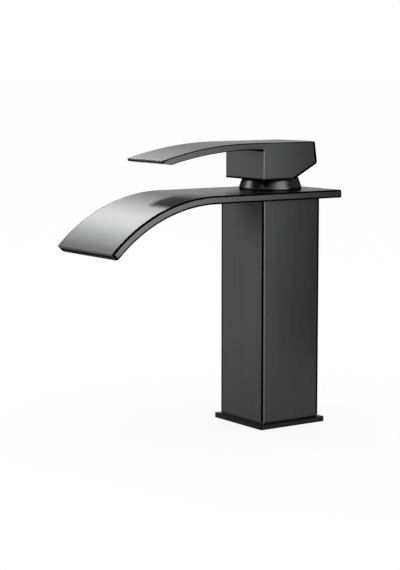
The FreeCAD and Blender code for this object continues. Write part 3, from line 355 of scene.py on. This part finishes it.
class Recipe:
    """A new material, with short calls that add and join its nodes."""

    def __init__(self, name):
        self.material = bpy.data.materials.new(name)
        self.material.use_nodes = True
        self.tree = self.material.node_tree
        self.shader = next(n for n in self.tree.nodes if n.type == "BSDF_PRINCIPLED")

    def node(self, kind, **settings):
        made = self.tree.nodes.new(f"ShaderNode{kind}")
        for name, setting in settings.items():
            setattr(made, name, setting)
        return made

    def join(self, source, target):
        self.tree.links.new(source, target)

    def feed(self, source, name):
        self.join(source, self.shader.inputs[name])

    def set(self, **settings):
        for name, setting in settings.items():
            self.shader.inputs[name.replace("_", " ")].default_value = setting

    def math(self, operation, first, second=None):
        made = self.node("Math", operation=operation)
        for socket, given in zip(made.inputs, (first, second)):
            if given is None:
                continue
            if isinstance(given, (int, float)):
                socket.default_value = given
            else:
                self.join(given, socket)
        return made.outputs[0]

    def minus(self, first, second):
        return self.math("SUBTRACT", first, second)

    def both(self, first, *others):
        """Where all the masks are."""
        for other in others:
            first = self.math("MULTIPLY", first, other)
        return first

    def either(self, first, *others):
        """Where any of the masks is."""
        for other in others:
            first = self.math("MAXIMUM", first, other)
        return first

    def length(self, first, second):
        """Length of the slope over two sides at a right angle."""
        squares = [self.math("MULTIPLY", side, side) for side in (first, second)]
        return self.math("SQRT", self.math("ADD", *squares))

    def ramp(self, source, span, start, stop, smooth=True):
        """The source's span mapped to start..stop, and held outside."""
        made = self.node("MapRange")
        made.interpolation_type = "SMOOTHSTEP" if smooth else "LINEAR"
        ends = zip(("From Min", "From Max", "To Min", "To Max"), (*span, start, stop))
        for name, number in ends:
            made.inputs[name].default_value = number
        self.join(source, made.inputs["Value"])
        return made.outputs["Result"]

    def rising(self, source, span, top=1.0):
        return self.ramp(source, span, 0.0, top)

    def falling(self, source, span, top=1.0):
        return self.ramp(source, span, top, 0.0)

    def beyond(self, source, level, soft=LINE_SOFT):
        return self.rising(source, (level - soft, level + soft))

    def below(self, source, level, soft=LINE_SOFT):
        return self.falling(source, (level - soft, level + soft))

    def grain(self, pace, detail=PLAIN_DETAIL):
        """Noise with a pace for each axis, in cycles for each metre."""
        place = self.node("TexCoord")
        scale = self.node("Mapping")
        scale.inputs["Scale"].default_value = pace
        noise = self.node("TexNoise")
        noise.inputs["Scale"].default_value = 1.0
        noise.inputs["Detail"].default_value = detail
        noise.inputs["Roughness"].default_value = NOISE_ROUGHNESS
        self.join(place.outputs["Object"], scale.inputs["Vector"])
        self.join(scale.outputs["Vector"], noise.inputs["Vector"])
        return noise.outputs["Fac"]

    def axes(self, coordinate):
        split = self.node("SeparateXYZ")
        self.join(self.node("TexCoord").outputs[coordinate], split.inputs[0])
        return split.outputs

    def place(self):
        """Where the point is on the piece, in metres."""
        return self.axes("Object")

    def normal(self):
        """Which way the surface faces on the piece."""
        return self.axes("Normal")

    def steepness(self):
        """How far the surface faces along each axis, either way."""
        return [self.math("ABSOLUTE", axis) for axis in self.normal()]

    def mix(self, share, first, second):
        made = self.node("Mix", data_type="RGBA")
        self.join(share, made.inputs[MIX_SHARE])
        for number, given in ((MIX_FIRST, first), (MIX_SECOND, second)):
            if hasattr(given, "is_output"):
                self.join(given, made.inputs[number])
            else:
                made.inputs[number].default_value = (*given, 1.0)
        return made.outputs[MIX_COLOUR]

    def relief(self, height, depth, strength):
        """Bump of that depth in metres."""
        bump = self.node("Bump")
        bump.inputs["Strength"].default_value = strength
        bump.inputs["Distance"].default_value = depth
        self.join(height, bump.inputs["Height"])
        self.feed(bump.outputs["Normal"], "Normal")


def shade(colour, factor):
    return tuple(min(1.0, part * factor) for part in colour)


def shifted(span, level):
    return tuple(level + end for end in span)


def dress(names, material):
    for name in names:
        for slot in NODES[name].material_slots:
            slot.material = material


def plating_colour(recipe, plating, grain, brush):
    """The plating's colour, with the brush's grain, broader streaks and soft clouds."""
    streak_pace = tuple(max(STREAK_SHARE * pace, STREAK_LEAST) for pace in brush)
    streak = recipe.grain(streak_pace, detail=SOFT_DETAIL)
    streaks = recipe.rising(streak, NOISE_CORE, STREAK_STRENGTH)
    cloud = recipe.grain((CLOUD_PACE, CLOUD_PACE, CLOUD_PACE), detail=SOFT_DETAIL)
    clouds = recipe.rising(cloud, NOISE_CORE, CLOUD_STRENGTH)
    darker, lighter = (shade(plating, tone) for tone in GRAIN_TONES)
    grained = recipe.mix(recipe.rising(grain, NOISE_MIDDLE), darker, lighter)
    streaked = recipe.mix(streaks, grained, shade(plating, STREAK_TONE))
    return recipe.mix(clouds, streaked, shade(plating, CLOUD_TONE))


def plating_satin(recipe, finish, grain):
    """Roughness of the plating: coarsest on the bent tops, finer on the level ones and the sides."""
    facing_up = recipe.normal()[2]
    satin = recipe.ramp(facing_up, HALF_TURNED, finish.plating_roughness, finish.top_roughness)
    finer = recipe.rising(facing_up, LIES_LEVEL, finish.top_roughness - finish.level_roughness)
    varied = recipe.ramp(grain, NOISE_WIDE, *GRAIN_GLOSS)
    return recipe.both(recipe.minus(satin, finer), varied)


def brushed_plating(name, scene, brush, edge, tone=1.0, shade_mask=None, painted_highlight=None):
    """Dark plating over brushed metal, with painted shade, painted black edges and, where given, a
    painted highlight.
    """
    finish = scene.mixer_finish
    plating = shade(finish.plating, tone)
    recipe = Recipe(name)
    grain = recipe.grain(brush)
    # Painted shade: faces that look down, and the places the shade mask picks, are darkened.
    under = recipe.falling(recipe.normal()[2], FACES_DOWN)
    painted_shade = recipe.either(under, shade_mask(recipe)) if shade_mask else under
    # Painted dark reflections and shadows: the edges turn black and lose their shine.
    painted_dark_lines = edge(recipe, scene.mixer_edges)
    coloured = plating_colour(recipe, plating, grain, brush)
    coloured = recipe.mix(painted_shade, coloured, shade(plating, PAINTED_SHADE_TONE))
    coloured = recipe.mix(painted_dark_lines, coloured, finish.painted_edge_dark)
    # Painted highlight where the piece's corners catch the light.
    if painted_highlight:
        coloured = recipe.mix(painted_highlight(recipe), coloured, finish.plating_highlight)
    recipe.feed(coloured, "Base Color")
    recipe.feed(recipe.minus(1.0, painted_dark_lines), "Metallic")
    recipe.feed(plating_satin(recipe, finish, grain), "Roughness")
    recipe.relief(grain, GRAIN_DEPTH, GRAIN_STRENGTH)
    recipe.set(Specular_IOR_Level=0.0)
    return recipe.material


def box_edge(recipe):
    """The rounded edges of a box, and not its faces."""
    return recipe.falling(recipe.either(*recipe.steepness()), FLAT_FACE)


def side_edge(recipe):
    """The rounded edges between the sides and the faces that bend with the piece."""
    across = recipe.steepness()[0]
    return recipe.both(recipe.rising(across, ROUND_BEGINS), recipe.falling(across, ROUND_ENDS))


def column_edge(recipe, edges):
    """Painted dark lines on the column's corners, a little way onto the faces beside them."""
    x, y, _ = recipe.place()
    beside = recipe.beyond(recipe.math("ABSOLUTE", x), COLUMN_HALF - edges.column)
    behind = recipe.beyond(recipe.math("ABSOLUTE", y), COLUMN_HALF - edges.column)
    elsewhere = recipe.falling(recipe.minus(x, y), shifted(CORNER_FADE, COLUMN_HALF))
    on_front = recipe.falling(y, shifted(FRONT_SKIN, -COLUMN_HALF))
    nearest = recipe.both(on_front, recipe.beyond(x, COLUMN_HALF - edges.column_front, FINE_SOFT))
    return recipe.either(box_edge(recipe), recipe.both(beside, behind, elsewhere), nearest)


def column_shade(recipe):
    """Painted shade on the column: darker towards its foot and on its right side, and a painted shadow
    at the front under the spout.
    """
    x, _, z = recipe.place()
    across, along, _ = recipe.normal()
    foot = recipe.falling(z, FOOT_SHADE, FOOT_STRENGTH)
    side = recipe.rising(across, MOSTLY_TURNED, SIDE_STRENGTH)
    under = recipe.ramp(z, shifted(HEAD_SHADE, COLUMN_HIGH.z), 0.0, 1.0, smooth=False)
    head = recipe.both(recipe.falling(along, FACES_FRONT), under, recipe.rising(x, HEAD_RIGHT))
    return recipe.either(foot, side, head)


def column_highlight(recipe):
    """A painted highlight beside the column's right front corner, stronger towards the foot."""
    _, y, z = recipe.place()
    side = recipe.rising(recipe.normal()[0], SQUARE_ASIDE)
    begins = recipe.beyond(y, HIGHLIGHT_START - COLUMN_HALF, FINE_SOFT)
    ends = recipe.beyond(y, HIGHLIGHT_STOP - COLUMN_HALF, FINE_SOFT)
    highlight_strength = recipe.ramp(z, HIGHLIGHT_HEIGHTS, *HIGHLIGHT_STRENGTHS, smooth=False)
    return recipe.both(side, recipe.minus(begins, ends), highlight_strength)


def base_edge(recipe, edges):
    """Painted dark lines on the plate's rounded edges, and a painted shadow line where it meets the
    gasket.
    """
    return recipe.either(box_edge(recipe), recipe.below(recipe.place()[2], edges.base_foot))


def base_front_shade(recipe):
    """Painted shade: the plate's front is darker than its sides."""
    return recipe.falling(recipe.normal()[1], FACES_FRONT)


def spout_depth(recipe):
    """How far a point of the spout lies under its upper face, along the bend too."""
    _, y, z = recipe.place()
    ahead = recipe.math("MAXIMUM", recipe.minus(SPOUT_BEND_START, y), 0.0)
    above = recipe.minus(z, SPOUT_HIGH.z - SPOUT_BEND_RADIUS)
    return recipe.minus(SPOUT_BEND_RADIUS, recipe.length(ahead, above))


def spout_edge(recipe, edges):
    """Painted dark lines on the spout's long edges with a little of the faces beside them and on its
    rear corners, and painted shade on its end face.
    """
    x, y, _ = recipe.place()
    across = recipe.steepness()[0]
    _, along, up = recipe.normal()
    beside = recipe.beyond(recipe.math("ABSOLUTE", x), SPOUT_HIGH.x - edges.spout_top)
    lower = recipe.beyond(spout_depth(recipe), SPOUT_THICKNESS - edges.spout_lower)
    rear = recipe.beyond(y, SPOUT_HIGH.y - edges.spout_rear)
    on_top = recipe.both(beside, recipe.falling(across, OFF_SIDE))
    on_side = recipe.both(recipe.rising(across, TURNED_ASIDE), recipe.either(lower, rear))
    end_face = recipe.falling(recipe.math("ADD", along, up), FACES_FRONT_AND_DOWN)
    on_end = recipe.both(end_face, recipe.either(lower, END_SHADE))
    return recipe.either(side_edge(recipe), on_top, on_side, on_end)


def spout_shade(recipe):
    """Painted shade on the spout: darker towards its end, and a painted shadow round the foot of the
    cover.
    """
    x, y, _ = recipe.place()
    tip = recipe.falling(y, shifted(SPOUT_TIP_SHADE, SPOUT_LOW.y), SPOUT_TIP_STRENGTH)
    reach = shifted(COVER_SHADE, COVER_HIGH.x)
    return recipe.either(tip, recipe.falling(recipe.length(x, y), reach, COVER_STRENGTH))


def block_outline(recipe, edges):
    """A painted dark outline on the block's sides beside its rear corners and its sloping heel."""
    _, y, z = recipe.place()
    height = recipe.minus(z, HANDLE_LOW.z)
    rear = recipe.minus(BLOCK_REAR, recipe.math("MULTIPLY", height, REAR_LEAN))
    heel = recipe.math("MULTIPLY", recipe.minus(y, HEEL_START), HEEL_SLOPE)
    near_rear = recipe.beyond(recipe.minus(y, rear), -edges.block_rear)
    near_heel = recipe.beyond(recipe.minus(heel, height), -edges.block_heel)
    side = recipe.rising(recipe.steepness()[0], HALF_TURNED)
    return recipe.both(side, recipe.either(near_rear, near_heel))


def front_right(recipe):
    """The right half of the block's front, with the round of its right front corner."""
    _, along, up = recipe.normal()
    ahead = recipe.falling(along, TURNS_FRONT)
    upright = recipe.falling(recipe.math("ABSOLUTE", up), UPRIGHT)
    return recipe.both(ahead, upright, recipe.beyond(recipe.place()[0], 0.0, MIDDLE_SOFT))


def lever_tip(recipe):
    """Where the lever's tip is painted dark: its lower half and its corners."""
    x, y, z = recipe.place()
    end = recipe.falling(y, shifted(TIP_SKIN, HANDLE_LOW.y))
    lower = recipe.falling(z, shifted(TIP_HALF, TIP_MIDDLE))
    corner = recipe.beyond(recipe.math("ABSOLUTE", x), HANDLE_HIGH.x - TIP_CORNER, TIP_CORNER_SOFT)
    return recipe.both(end, recipe.either(lower, corner))


def lever_root(recipe):
    """A painted shadow line on the block's front under the lever, wider to the right."""
    x, _, z = recipe.place()
    width = recipe.ramp(x, (-HANDLE_HIGH.x, HANDLE_HIGH.x), *ROOT_LINE, smooth=False)
    under = recipe.minus(recipe.math("ADD", z, width), LEVER_UNDERSIDE)
    ahead = recipe.falling(recipe.normal()[1], LEANS_FRONT)
    return recipe.both(ahead, recipe.beyond(under, 0.0, FINE_SOFT))


def handle_edge(recipe, edges):
    """Painted dark lines on the lever's long edges, tip and root, and on the block's outline and foot.
    """
    x, _, z = recipe.place()
    across = recipe.steepness()[0]
    turned = recipe.minus(across, recipe.rising(recipe.normal()[1], FACES_REAR, REAR_ROUND))
    rounds = recipe.both(recipe.rising(turned, ROUND_BEGINS), recipe.falling(across, ROUND_ENDS))
    beside = recipe.beyond(recipe.math("ABSOLUTE", x), HANDLE_HIGH.x - edges.lever, FINE_SOFT)
    on_top = recipe.both(beside, recipe.falling(across, OFF_SIDE))
    kept = recipe.minus(1.0, front_right(recipe))
    long_edges = recipe.both(recipe.either(rounds, on_top), kept)
    foot = recipe.falling(z, shifted(BLOCK_FOOT, HANDLE_LOW.z))
    outline = block_outline(recipe, edges)
    return recipe.either(long_edges, lever_tip(recipe), foot, lever_root(recipe), outline)


def lever_side_shade(recipe):
    """Painted shade: the lever's thin sides are darker than the block's."""
    ahead = recipe.falling(recipe.place()[1], shifted(LEVER_SIDE, STEM_FRONT), LEVER_SIDE_STRENGTH)
    return recipe.both(ahead, recipe.rising(recipe.steepness()[0], TURNED_ASIDE))


def handle_highlight(recipe):
    """A painted highlight on the block's right front corner."""
    rounded = recipe.rising(recipe.steepness()[0], CORNER_ROUND)
    below = recipe.falling(recipe.place()[2], shifted(BLOCK_HIGHLIGHT, LEVER_UNDERSIDE))
    return recipe.both(front_right(recipe), rounded, below, BLOCK_HIGHLIGHT_STRENGTH)


def cover_gloss(name, finish):
    """Polished dark plating, faintly clouded, with the finest turning lines round the cover and painted
    shade at its foot.
    """
    recipe = Recipe(name)
    cloud = recipe.grain((COVER_CLOUD_PACE, COVER_CLOUD_PACE, COVER_CLOUD_PACE))
    darker, lighter = (shade(finish.cover_black, tone) for tone in COVER_TONES)
    clouded = recipe.mix(recipe.rising(cloud, NOISE_MIDDLE), darker, lighter)
    foot = recipe.falling(recipe.place()[2], shifted(COVER_FOOT, COVER_LOW.z))
    recipe.feed(recipe.mix(foot, clouded, finish.painted_edge_dark), "Base Color")
    recipe.feed(recipe.ramp(cloud, NOISE_WIDE, *COVER_GLOSS), "Roughness")
    recipe.relief(recipe.grain(COVER_TURNING), TURNING_DEPTH, TURNING_STRENGTH)
    recipe.set(Metallic=1.0, Specular_Tint=(*grey(COVER_EDGE), 1.0))
    return recipe.material


def machined_metal(name, colour, roughness, lines, tarnish):
    """Bare metal with tool lines along one way; tarnish is how light its dull patches are."""
    recipe = Recipe(name)
    tooled = recipe.grain(lines)
    patches = recipe.grain((TARNISH_PACE, TARNISH_PACE, TARNISH_PACE), detail=FINE_DETAIL)
    darker, lighter = (shade(colour, tone) for tone in TOOL_TONES)
    body = recipe.mix(recipe.rising(tooled, NOISE_MIDDLE), darker, lighter)
    spots = recipe.rising(patches, NOISE_UPPER, TARNISH_STRENGTH)
    recipe.feed(recipe.mix(spots, body, shade(colour, tarnish)), "Base Color")
    streaked = recipe.ramp(tooled, NOISE_WIDE, *(roughness * gloss for gloss in TOOL_GLOSS))
    dulled = recipe.rising(patches, NOISE_UPPER, TARNISH_ROUGHNESS)
    recipe.feed(recipe.math("ADD", streaked, dulled), "Roughness")
    recipe.relief(tooled, TOOL_DEPTH, TOOL_STRENGTH)
    recipe.set(Metallic=1.0)
    return recipe.material


def moulded(name, colour, roughness, speck, depth, spread=0.06, coat=0.0):
    """Moulded or sintered stuff: a fine skin, faint flow marks and uneven gloss."""
    recipe = Recipe(name)
    skin = recipe.grain((speck, speck, speck))
    flow = recipe.grain(FLOW_MARKS, detail=SOFT_DETAIL)
    darker = shade(colour, 1.0 - spread)
    lighter = shade(colour, 1.0 + spread)
    body = recipe.mix(recipe.rising(skin, NOISE_CORE), darker, lighter)
    marks = recipe.rising(flow, NOISE_BROAD, FLOW_STRENGTH)
    recipe.feed(recipe.mix(marks, body, shade(colour, FLOW_TONE)), "Base Color")
    uneven = recipe.ramp(flow, NOISE_CORE, *(roughness * gloss for gloss in FLOW_GLOSS))
    recipe.feed(uneven, "Roughness")
    recipe.relief(skin, depth, SKIN_STRENGTH)
    recipe.set(Coat_Weight=coat, Coat_Roughness=COAT_ROUGHNESS)
    return recipe.material


class MIXER_OT_column(Operator):
    """Plating brushed up the square column"""

    bl_idname = "mixer.column"
    bl_label = "Column"

    def execute(self, context):
        plating = brushed_plating(
            "column_plating",
            context.scene,
            COLUMN_BRUSH,
            column_edge,
            tone=COLUMN_TONE,
            shade_mask=column_shade,
            painted_highlight=column_highlight,
        )
        dress(COLUMN, plating)
        return {"FINISHED"}


class MIXER_OT_base(Operator):
    """Plating brushed across the base plate"""

    bl_idname = "mixer.base"
    bl_label = "Base plate"

    def execute(self, context):
        plating = brushed_plating(
            "base_plating", context.scene, BASE_BRUSH, base_edge, tone=BASE_TONE, shade_mask=base_front_shade
        )
        dress(BASE, plating)
        return {"FINISHED"}


class MIXER_OT_spout(Operator):
    """Plating brushed along the spout"""

    bl_idname = "mixer.spout"
    bl_label = "Spout"

    def execute(self, context):
        plating = brushed_plating(
            "spout_plating", context.scene, SPOUT_BRUSH, spout_edge, shade_mask=spout_shade
        )
        dress(SPOUT, plating)
        return {"FINISHED"}


class MIXER_OT_handle(Operator):
    """Plating brushed along the lever"""

    bl_idname = "mixer.handle"
    bl_label = "Lever handle"

    def execute(self, context):
        plating = brushed_plating(
            "handle_plating",
            context.scene,
            HANDLE_BRUSH,
            handle_edge,
            tone=HANDLE_TONE,
            shade_mask=lever_side_shade,
            painted_highlight=handle_highlight,
        )
        dress(HANDLE, plating)
        return {"FINISHED"}


class MIXER_OT_cover(Operator):
    """Polished dark tapered cover"""

    bl_idname = "mixer.cover"
    bl_label = "Tapered cover"

    def execute(self, context):
        dress(COVER, cover_gloss("cover_gloss", context.scene.mixer_finish))
        return {"FINISHED"}


class MIXER_OT_waterways(Operator):
    """Turned brass of the foot block, the valve body, its plugs and the nut"""

    bl_idname = "mixer.waterways"
    bl_label = "Waterways"

    def execute(self, context):
        brass = context.scene.mixer_finish.brass
        turned = machined_metal(
            "turned_brass", brass, roughness=0.26, lines=TURNED_LINES, tarnish=0.55
        )
        dress(WATERWAYS, turned)
        return {"FINISHED"}


class MIXER_OT_feed_pipes(Operator):
    """Drawn copper of the two feed pipes"""

    bl_idname = "mixer.feed_pipes"
    bl_label = "Feed pipes"

    def execute(self, context):
        copper = context.scene.mixer_finish.copper
        drawn = machined_metal(
            "drawn_copper", copper, roughness=0.24, lines=DRAWN_LINES, tarnish=0.5
        )
        dress(FEED_PIPES, drawn)
        return {"FINISHED"}


class MIXER_OT_pins(Operator):
    """Ground steel of the stem, the pivot pin and the grub screw"""

    bl_idname = "mixer.pins"
    bl_label = "Stem and pins"

    def execute(self, context):
        steel = context.scene.mixer_finish.steel
        ground = machined_metal(
            "ground_steel", steel, roughness=0.28, lines=TURNED_LINES, tarnish=0.7
        )
        dress(PINS, ground)
        return {"FINISHED"}


class MIXER_OT_seals(Operator):
    """Moulded rubber of the gasket, seals and ring"""

    bl_idname = "mixer.seals"
    bl_label = "Seals"

    def execute(self, context):
        rubber = context.scene.mixer_finish.rubber
        seal = moulded(
            "seal_rubber", rubber, roughness=0.7, speck=1600.0, depth=0.03 * MM, spread=0.25
        )
        dress(SEALS, seal)
        return {"FINISHED"}


class MIXER_OT_cartridge(Operator):
    """Moulded plastics of the cartridge: housing and base, rotor and disc carrier"""

    bl_idname = "mixer.cartridge"
    bl_label = "Cartridge"

    def execute(self, context):
        finish = context.scene.mixer_finish
        housing = moulded(
            "housing_plastic", finish.housing, roughness=0.42, speck=1200.0, depth=0.015 * MM
        )
        rotor = moulded(
            "rotor_plastic", finish.rotor, roughness=0.4, speck=1200.0, depth=0.015 * MM
        )
        dress(HOUSING, housing)
        dress(ROTOR, rotor)
        return {"FINISHED"}


class MIXER_OT_discs(Operator):
    """Lapped ceramic of the fixed and the moving disc"""

    bl_idname = "mixer.discs"
    bl_label = "Discs"

    def execute(self, context):
        ceramic = context.scene.mixer_finish.ceramic
        lapped = moulded(
            "lapped_ceramic", ceramic, roughness=0.2, speck=2400.0, depth=0.002 * MM, coat=0.4
        )
        dress(DISCS, lapped)
        return {"FINISHED"}


class MIXER_OT_screw_plug(Operator):
    """Moulded plug over the grub screw"""

    bl_idname = "mixer.screw_plug"
    bl_label = "Screw plug"

    def execute(self, context):
        colour = context.scene.mixer_finish.plug
        plug = moulded(
            "plug_plastic", colour, roughness=0.45, speck=1500.0, depth=0.02 * MM, spread=0.15
        )
        dress(SCREW_PLUG, plug)
        return {"FINISHED"}


def thread_ridge(name, centre, radius, stop, thread):
    """A helical ridge on the wall of a bore, thinning out at both ends."""
    pitch = thread.pitch
    count = int((stop - thread.start - pitch) / pitch * THREAD_STEPS)
    if count < THREAD_STEPS:
        raise RuntimeError(f"{name} has no room for a full turn")
    fade_steps = FADE_TURNS * THREAD_STEPS
    wall = radius + THREAD_BURY
    shares = (-ROOT_SHARE, -CREST_SHARE, CREST_SHARE, ROOT_SHARE)
    points = []
    for step in range(count + 1):
        angle = math.tau * step / THREAD_STEPS
        crest = radius - thread.depth * min(1.0, step / fade_steps, (count - step) / fade_steps)
        middle = thread.start + pitch * (0.5 + step / THREAD_STEPS)
        for reach, share in zip((wall, crest, crest, wall), shares):
            x = centre[0] + reach * math.cos(angle)
            y = centre[1] + reach * math.sin(angle)
            points.append((x, y, middle + share * pitch))
    corners = len(shares)
    faces = [tuple(range(corners))[::-1], tuple(range(count * corners, (count + 1) * corners))]
    for step in range(count):
        near = step * corners
        far = near + corners
        for side in range(corners):
            after = (side + 1) % corners
            faces.append((near + side, near + after, far + after, far + side))
    return add_mesh(name, points, faces)


def add_mesh(name, points, faces):
    mesh = bpy.data.meshes.new(name)
    mesh.from_pydata(points, [], faces)
    made = bpy.data.objects.new(name, mesh)
    bpy.context.scene.collection.objects.link(made)
    return made


class MIXER_OT_threads(Operator):
    """Threads in the two hose sockets and the stud socket"""

    bl_idname = "mixer.threads"
    bl_label = "Socket threads"

    def execute(self, context):
        sockets = [mount for mount in frame["record"]["mounts"] if mount["kind"] == "threaded_hole"]
        if not sockets:
            raise RuntimeError("The record has no threaded sockets")
        for socket in sockets:
            name = socket["name"].replace("_socket", "_thread")
            radius = socket["dims"]["r_mm"] * MM
            depth = socket["dims"]["length_mm"] * MM
            ridge = thread_ridge(name, socket["pos_m"], radius, depth, context.scene.mixer_threads)
            ridge.data.materials.append(NODES["foot_block"].material_slots[0].material)
            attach(ridge, "mixer_body")
        return {"FINISHED"}


def seen_rays(tree):
    """1 for the rays that show the backdrop: straight to the camera, off gloss or through glass."""
    path = tree.nodes.new("ShaderNodeLightPath")
    seen = path.outputs["Is Camera Ray"]
    for ray in ("Is Glossy Ray", "Is Transmission Ray"):
        either = tree.nodes.new("ShaderNodeMath")
        either.operation = "MAXIMUM"
        tree.links.new(seen, either.inputs[0])
        tree.links.new(path.outputs[ray], either.inputs[1])
        seen = either.outputs[0]
    return seen


def pale_floor(colour):
    """A round floor that looks white to the camera and keeps part of the shadow."""
    turns = [math.tau * corner / FLOOR_CORNERS for corner in range(FLOOR_CORNERS)]
    points = [(FLOOR_RADIUS * math.cos(turn), FLOOR_RADIUS * math.sin(turn), 0.0) for turn in turns]
    floor = add_mesh("floor", points, [tuple(range(FLOOR_CORNERS))])
    recipe = Recipe("floor_white")
    recipe.set(Base_Color=(*colour, 1.0), Roughness=MATT)
    blend = recipe.node("MixShader")
    recipe.join(recipe.math("MULTIPLY", seen_rays(recipe.tree), FLOOR_GLOW), blend.inputs[0])
    recipe.join(recipe.shader.outputs[0], blend.inputs[1])
    recipe.join(recipe.node("Emission").outputs[0], blend.inputs[2])
    output = next(n for n in recipe.tree.nodes if n.type == "OUTPUT_MATERIAL")
    recipe.join(blend.outputs[0], output.inputs["Surface"])
    floor.data.materials.append(recipe.material)


def dark_card(colour):
    """An upright card that only gloss sees, to darken what the right sides mirror."""
    (left, back), (right, front) = CARD_ENDS
    foot = [(left, back, 0.0), (right, front, 0.0)]
    head = [(right, front, CARD_HEIGHT), (left, back, CARD_HEIGHT)]
    card = add_mesh("dark_card", foot + head, [(0, 1, 2, 3)])
    recipe = Recipe("card_grey")
    recipe.set(Base_Color=(*colour, 1.0), Roughness=MATT)
    card.data.materials.append(recipe.material)
    for rays in ("camera", "diffuse", "transmission", "shadow"):
        setattr(card, f"visible_{rays}", False)


def studio_world():
    """Even soft light, and a white backdrop that gloss sees darken towards the ceiling."""
    world = bpy.data.worlds.new("studio")
    bpy.context.scene.world = world
    world.use_nodes = True
    tree = world.node_tree
    background = next(n for n in tree.nodes if n.type == "BACKGROUND")
    place = tree.nodes.new("ShaderNodeTexCoord")
    split = tree.nodes.new("ShaderNodeSeparateXYZ")
    tree.links.new(place.outputs["Generated"], split.inputs[0])
    backdrop = tree.nodes.new("ShaderNodeValToRGB")
    bands = backdrop.color_ramp.elements
    while len(bands) < len(BACKDROP):
        bands.new(1.0)
    for band, (height, level) in zip(bands, BACKDROP):
        band.position = height
        band.color = (*grey(level), 1.0)
    tree.links.new(split.outputs["Z"], backdrop.inputs["Fac"])
    blend = tree.nodes.new("ShaderNodeMix")
    blend.data_type = "RGBA"
    blend.inputs[MIX_FIRST].default_value = (*SOFT_LIGHT, 1.0)
    tree.links.new(seen_rays(tree), blend.inputs[MIX_SHARE])
    tree.links.new(backdrop.outputs["Color"], blend.inputs[MIX_SECOND])
    tree.links.new(blend.outputs[MIX_COLOUR], background.inputs["Color"])


def softbox(name, place, facing, width, height, brightness):
    """A lamp turned to face a point, for highlights alone; brightness 1 is that of a white card."""
    data = bpy.data.lights.new(name, "AREA")
    data.shape = "RECTANGLE"
    data.size = width
    data.size_y = height
    data.energy = brightness * math.pi * width * height
    lamp = bpy.data.objects.new(name, data)
    way = Vector(facing) - Vector(place)
    lamp.location = place
    lamp.rotation_mode = "QUATERNION"
    lamp.rotation_quaternion = way.to_track_quat("-Z", "Y")
    lamp.visible_camera = False
    lamp.visible_diffuse = False
    bpy.context.scene.collection.objects.link(lamp)


def studio_camera(scene, studio):
    data = bpy.data.cameras.new("camera")
    data.lens = studio.lens
    data.sensor_width = SENSOR_WIDTH
    camera = bpy.data.objects.new("camera", data)
    camera.location = studio.camera_place
    camera.rotation_euler = (math.pi / 2 - studio.camera_dip, 0.0, studio.camera_turn)
    scene.collection.objects.link(camera)
    scene.camera = camera


class MIXER_OT_stage(Operator):
    """Floor, backdrop, card, lamps and camera"""

    bl_idname = "mixer.stage"
    bl_label = "Studio"

    def execute(self, context):
        scene = context.scene
        studio = scene.mixer_studio
        pale_floor(studio.floor_colour)
        studio_world()
        dark_card(studio.card_colour)
        for lamp in LAMPS:
            softbox(*lamp)
        studio_camera(scene, studio)
        scene.view_settings.view_transform = "Standard"
        return {"FINISHED"}


GROUPS = {
    "mixer_finish": MixerFinish,
    "mixer_edges": MixerEdges,
    "mixer_threads": MixerThreads,
    "mixer_studio": MixerStudio,
}

OPERATORS = (
    MIXER_OT_column,
    MIXER_OT_base,
    MIXER_OT_spout,
    MIXER_OT_handle,
    MIXER_OT_cover,
    MIXER_OT_waterways,
    MIXER_OT_feed_pipes,
    MIXER_OT_pins,
    MIXER_OT_seals,
    MIXER_OT_cartridge,
    MIXER_OT_discs,
    MIXER_OT_screw_plug,
    MIXER_OT_threads,
    MIXER_OT_stage,
)


class MIXER_PT_panel(Panel):
    """The mixer's finishes, sizes and studio"""

    bl_idname = "MIXER_PT_panel"
    bl_label = "Basin mixer"
    bl_space_type = "VIEW_3D"
    bl_region_type = "UI"
    bl_category = "Mixer"

    def draw(self, context):
        for name, group in GROUPS.items():
            for setting in group.__annotations__:
                self.layout.prop(getattr(context.scene, name), setting)
        for operator in OPERATORS:
            self.layout.operator(operator.bl_idname)


CLASSES = (*GROUPS.values(), *OPERATORS, MIXER_PT_panel)


def register():
    for each in CLASSES:
        bpy.utils.register_class(each)
    for name, group in GROUPS.items():
        setattr(bpy.types.Scene, name, PointerProperty(type=group))


def unregister():
    for name in GROUPS:
        delattr(bpy.types.Scene, name)
    for each in reversed(CLASSES):
        bpy.utils.unregister_class(each)


def main():
    register()
    bpy.ops.mixer.column()
    bpy.ops.mixer.base()
    bpy.ops.mixer.spout()
    bpy.ops.mixer.handle()
    bpy.ops.mixer.cover()
    bpy.ops.mixer.waterways()
    bpy.ops.mixer.feed_pipes()
    bpy.ops.mixer.pins()
    bpy.ops.mixer.seals()
    bpy.ops.mixer.cartridge()
    bpy.ops.mixer.discs()
    bpy.ops.mixer.screw_plug()
    bpy.ops.mixer.threads()
    bpy.ops.mixer.stage()


if __name__ == "__main__":
    main()
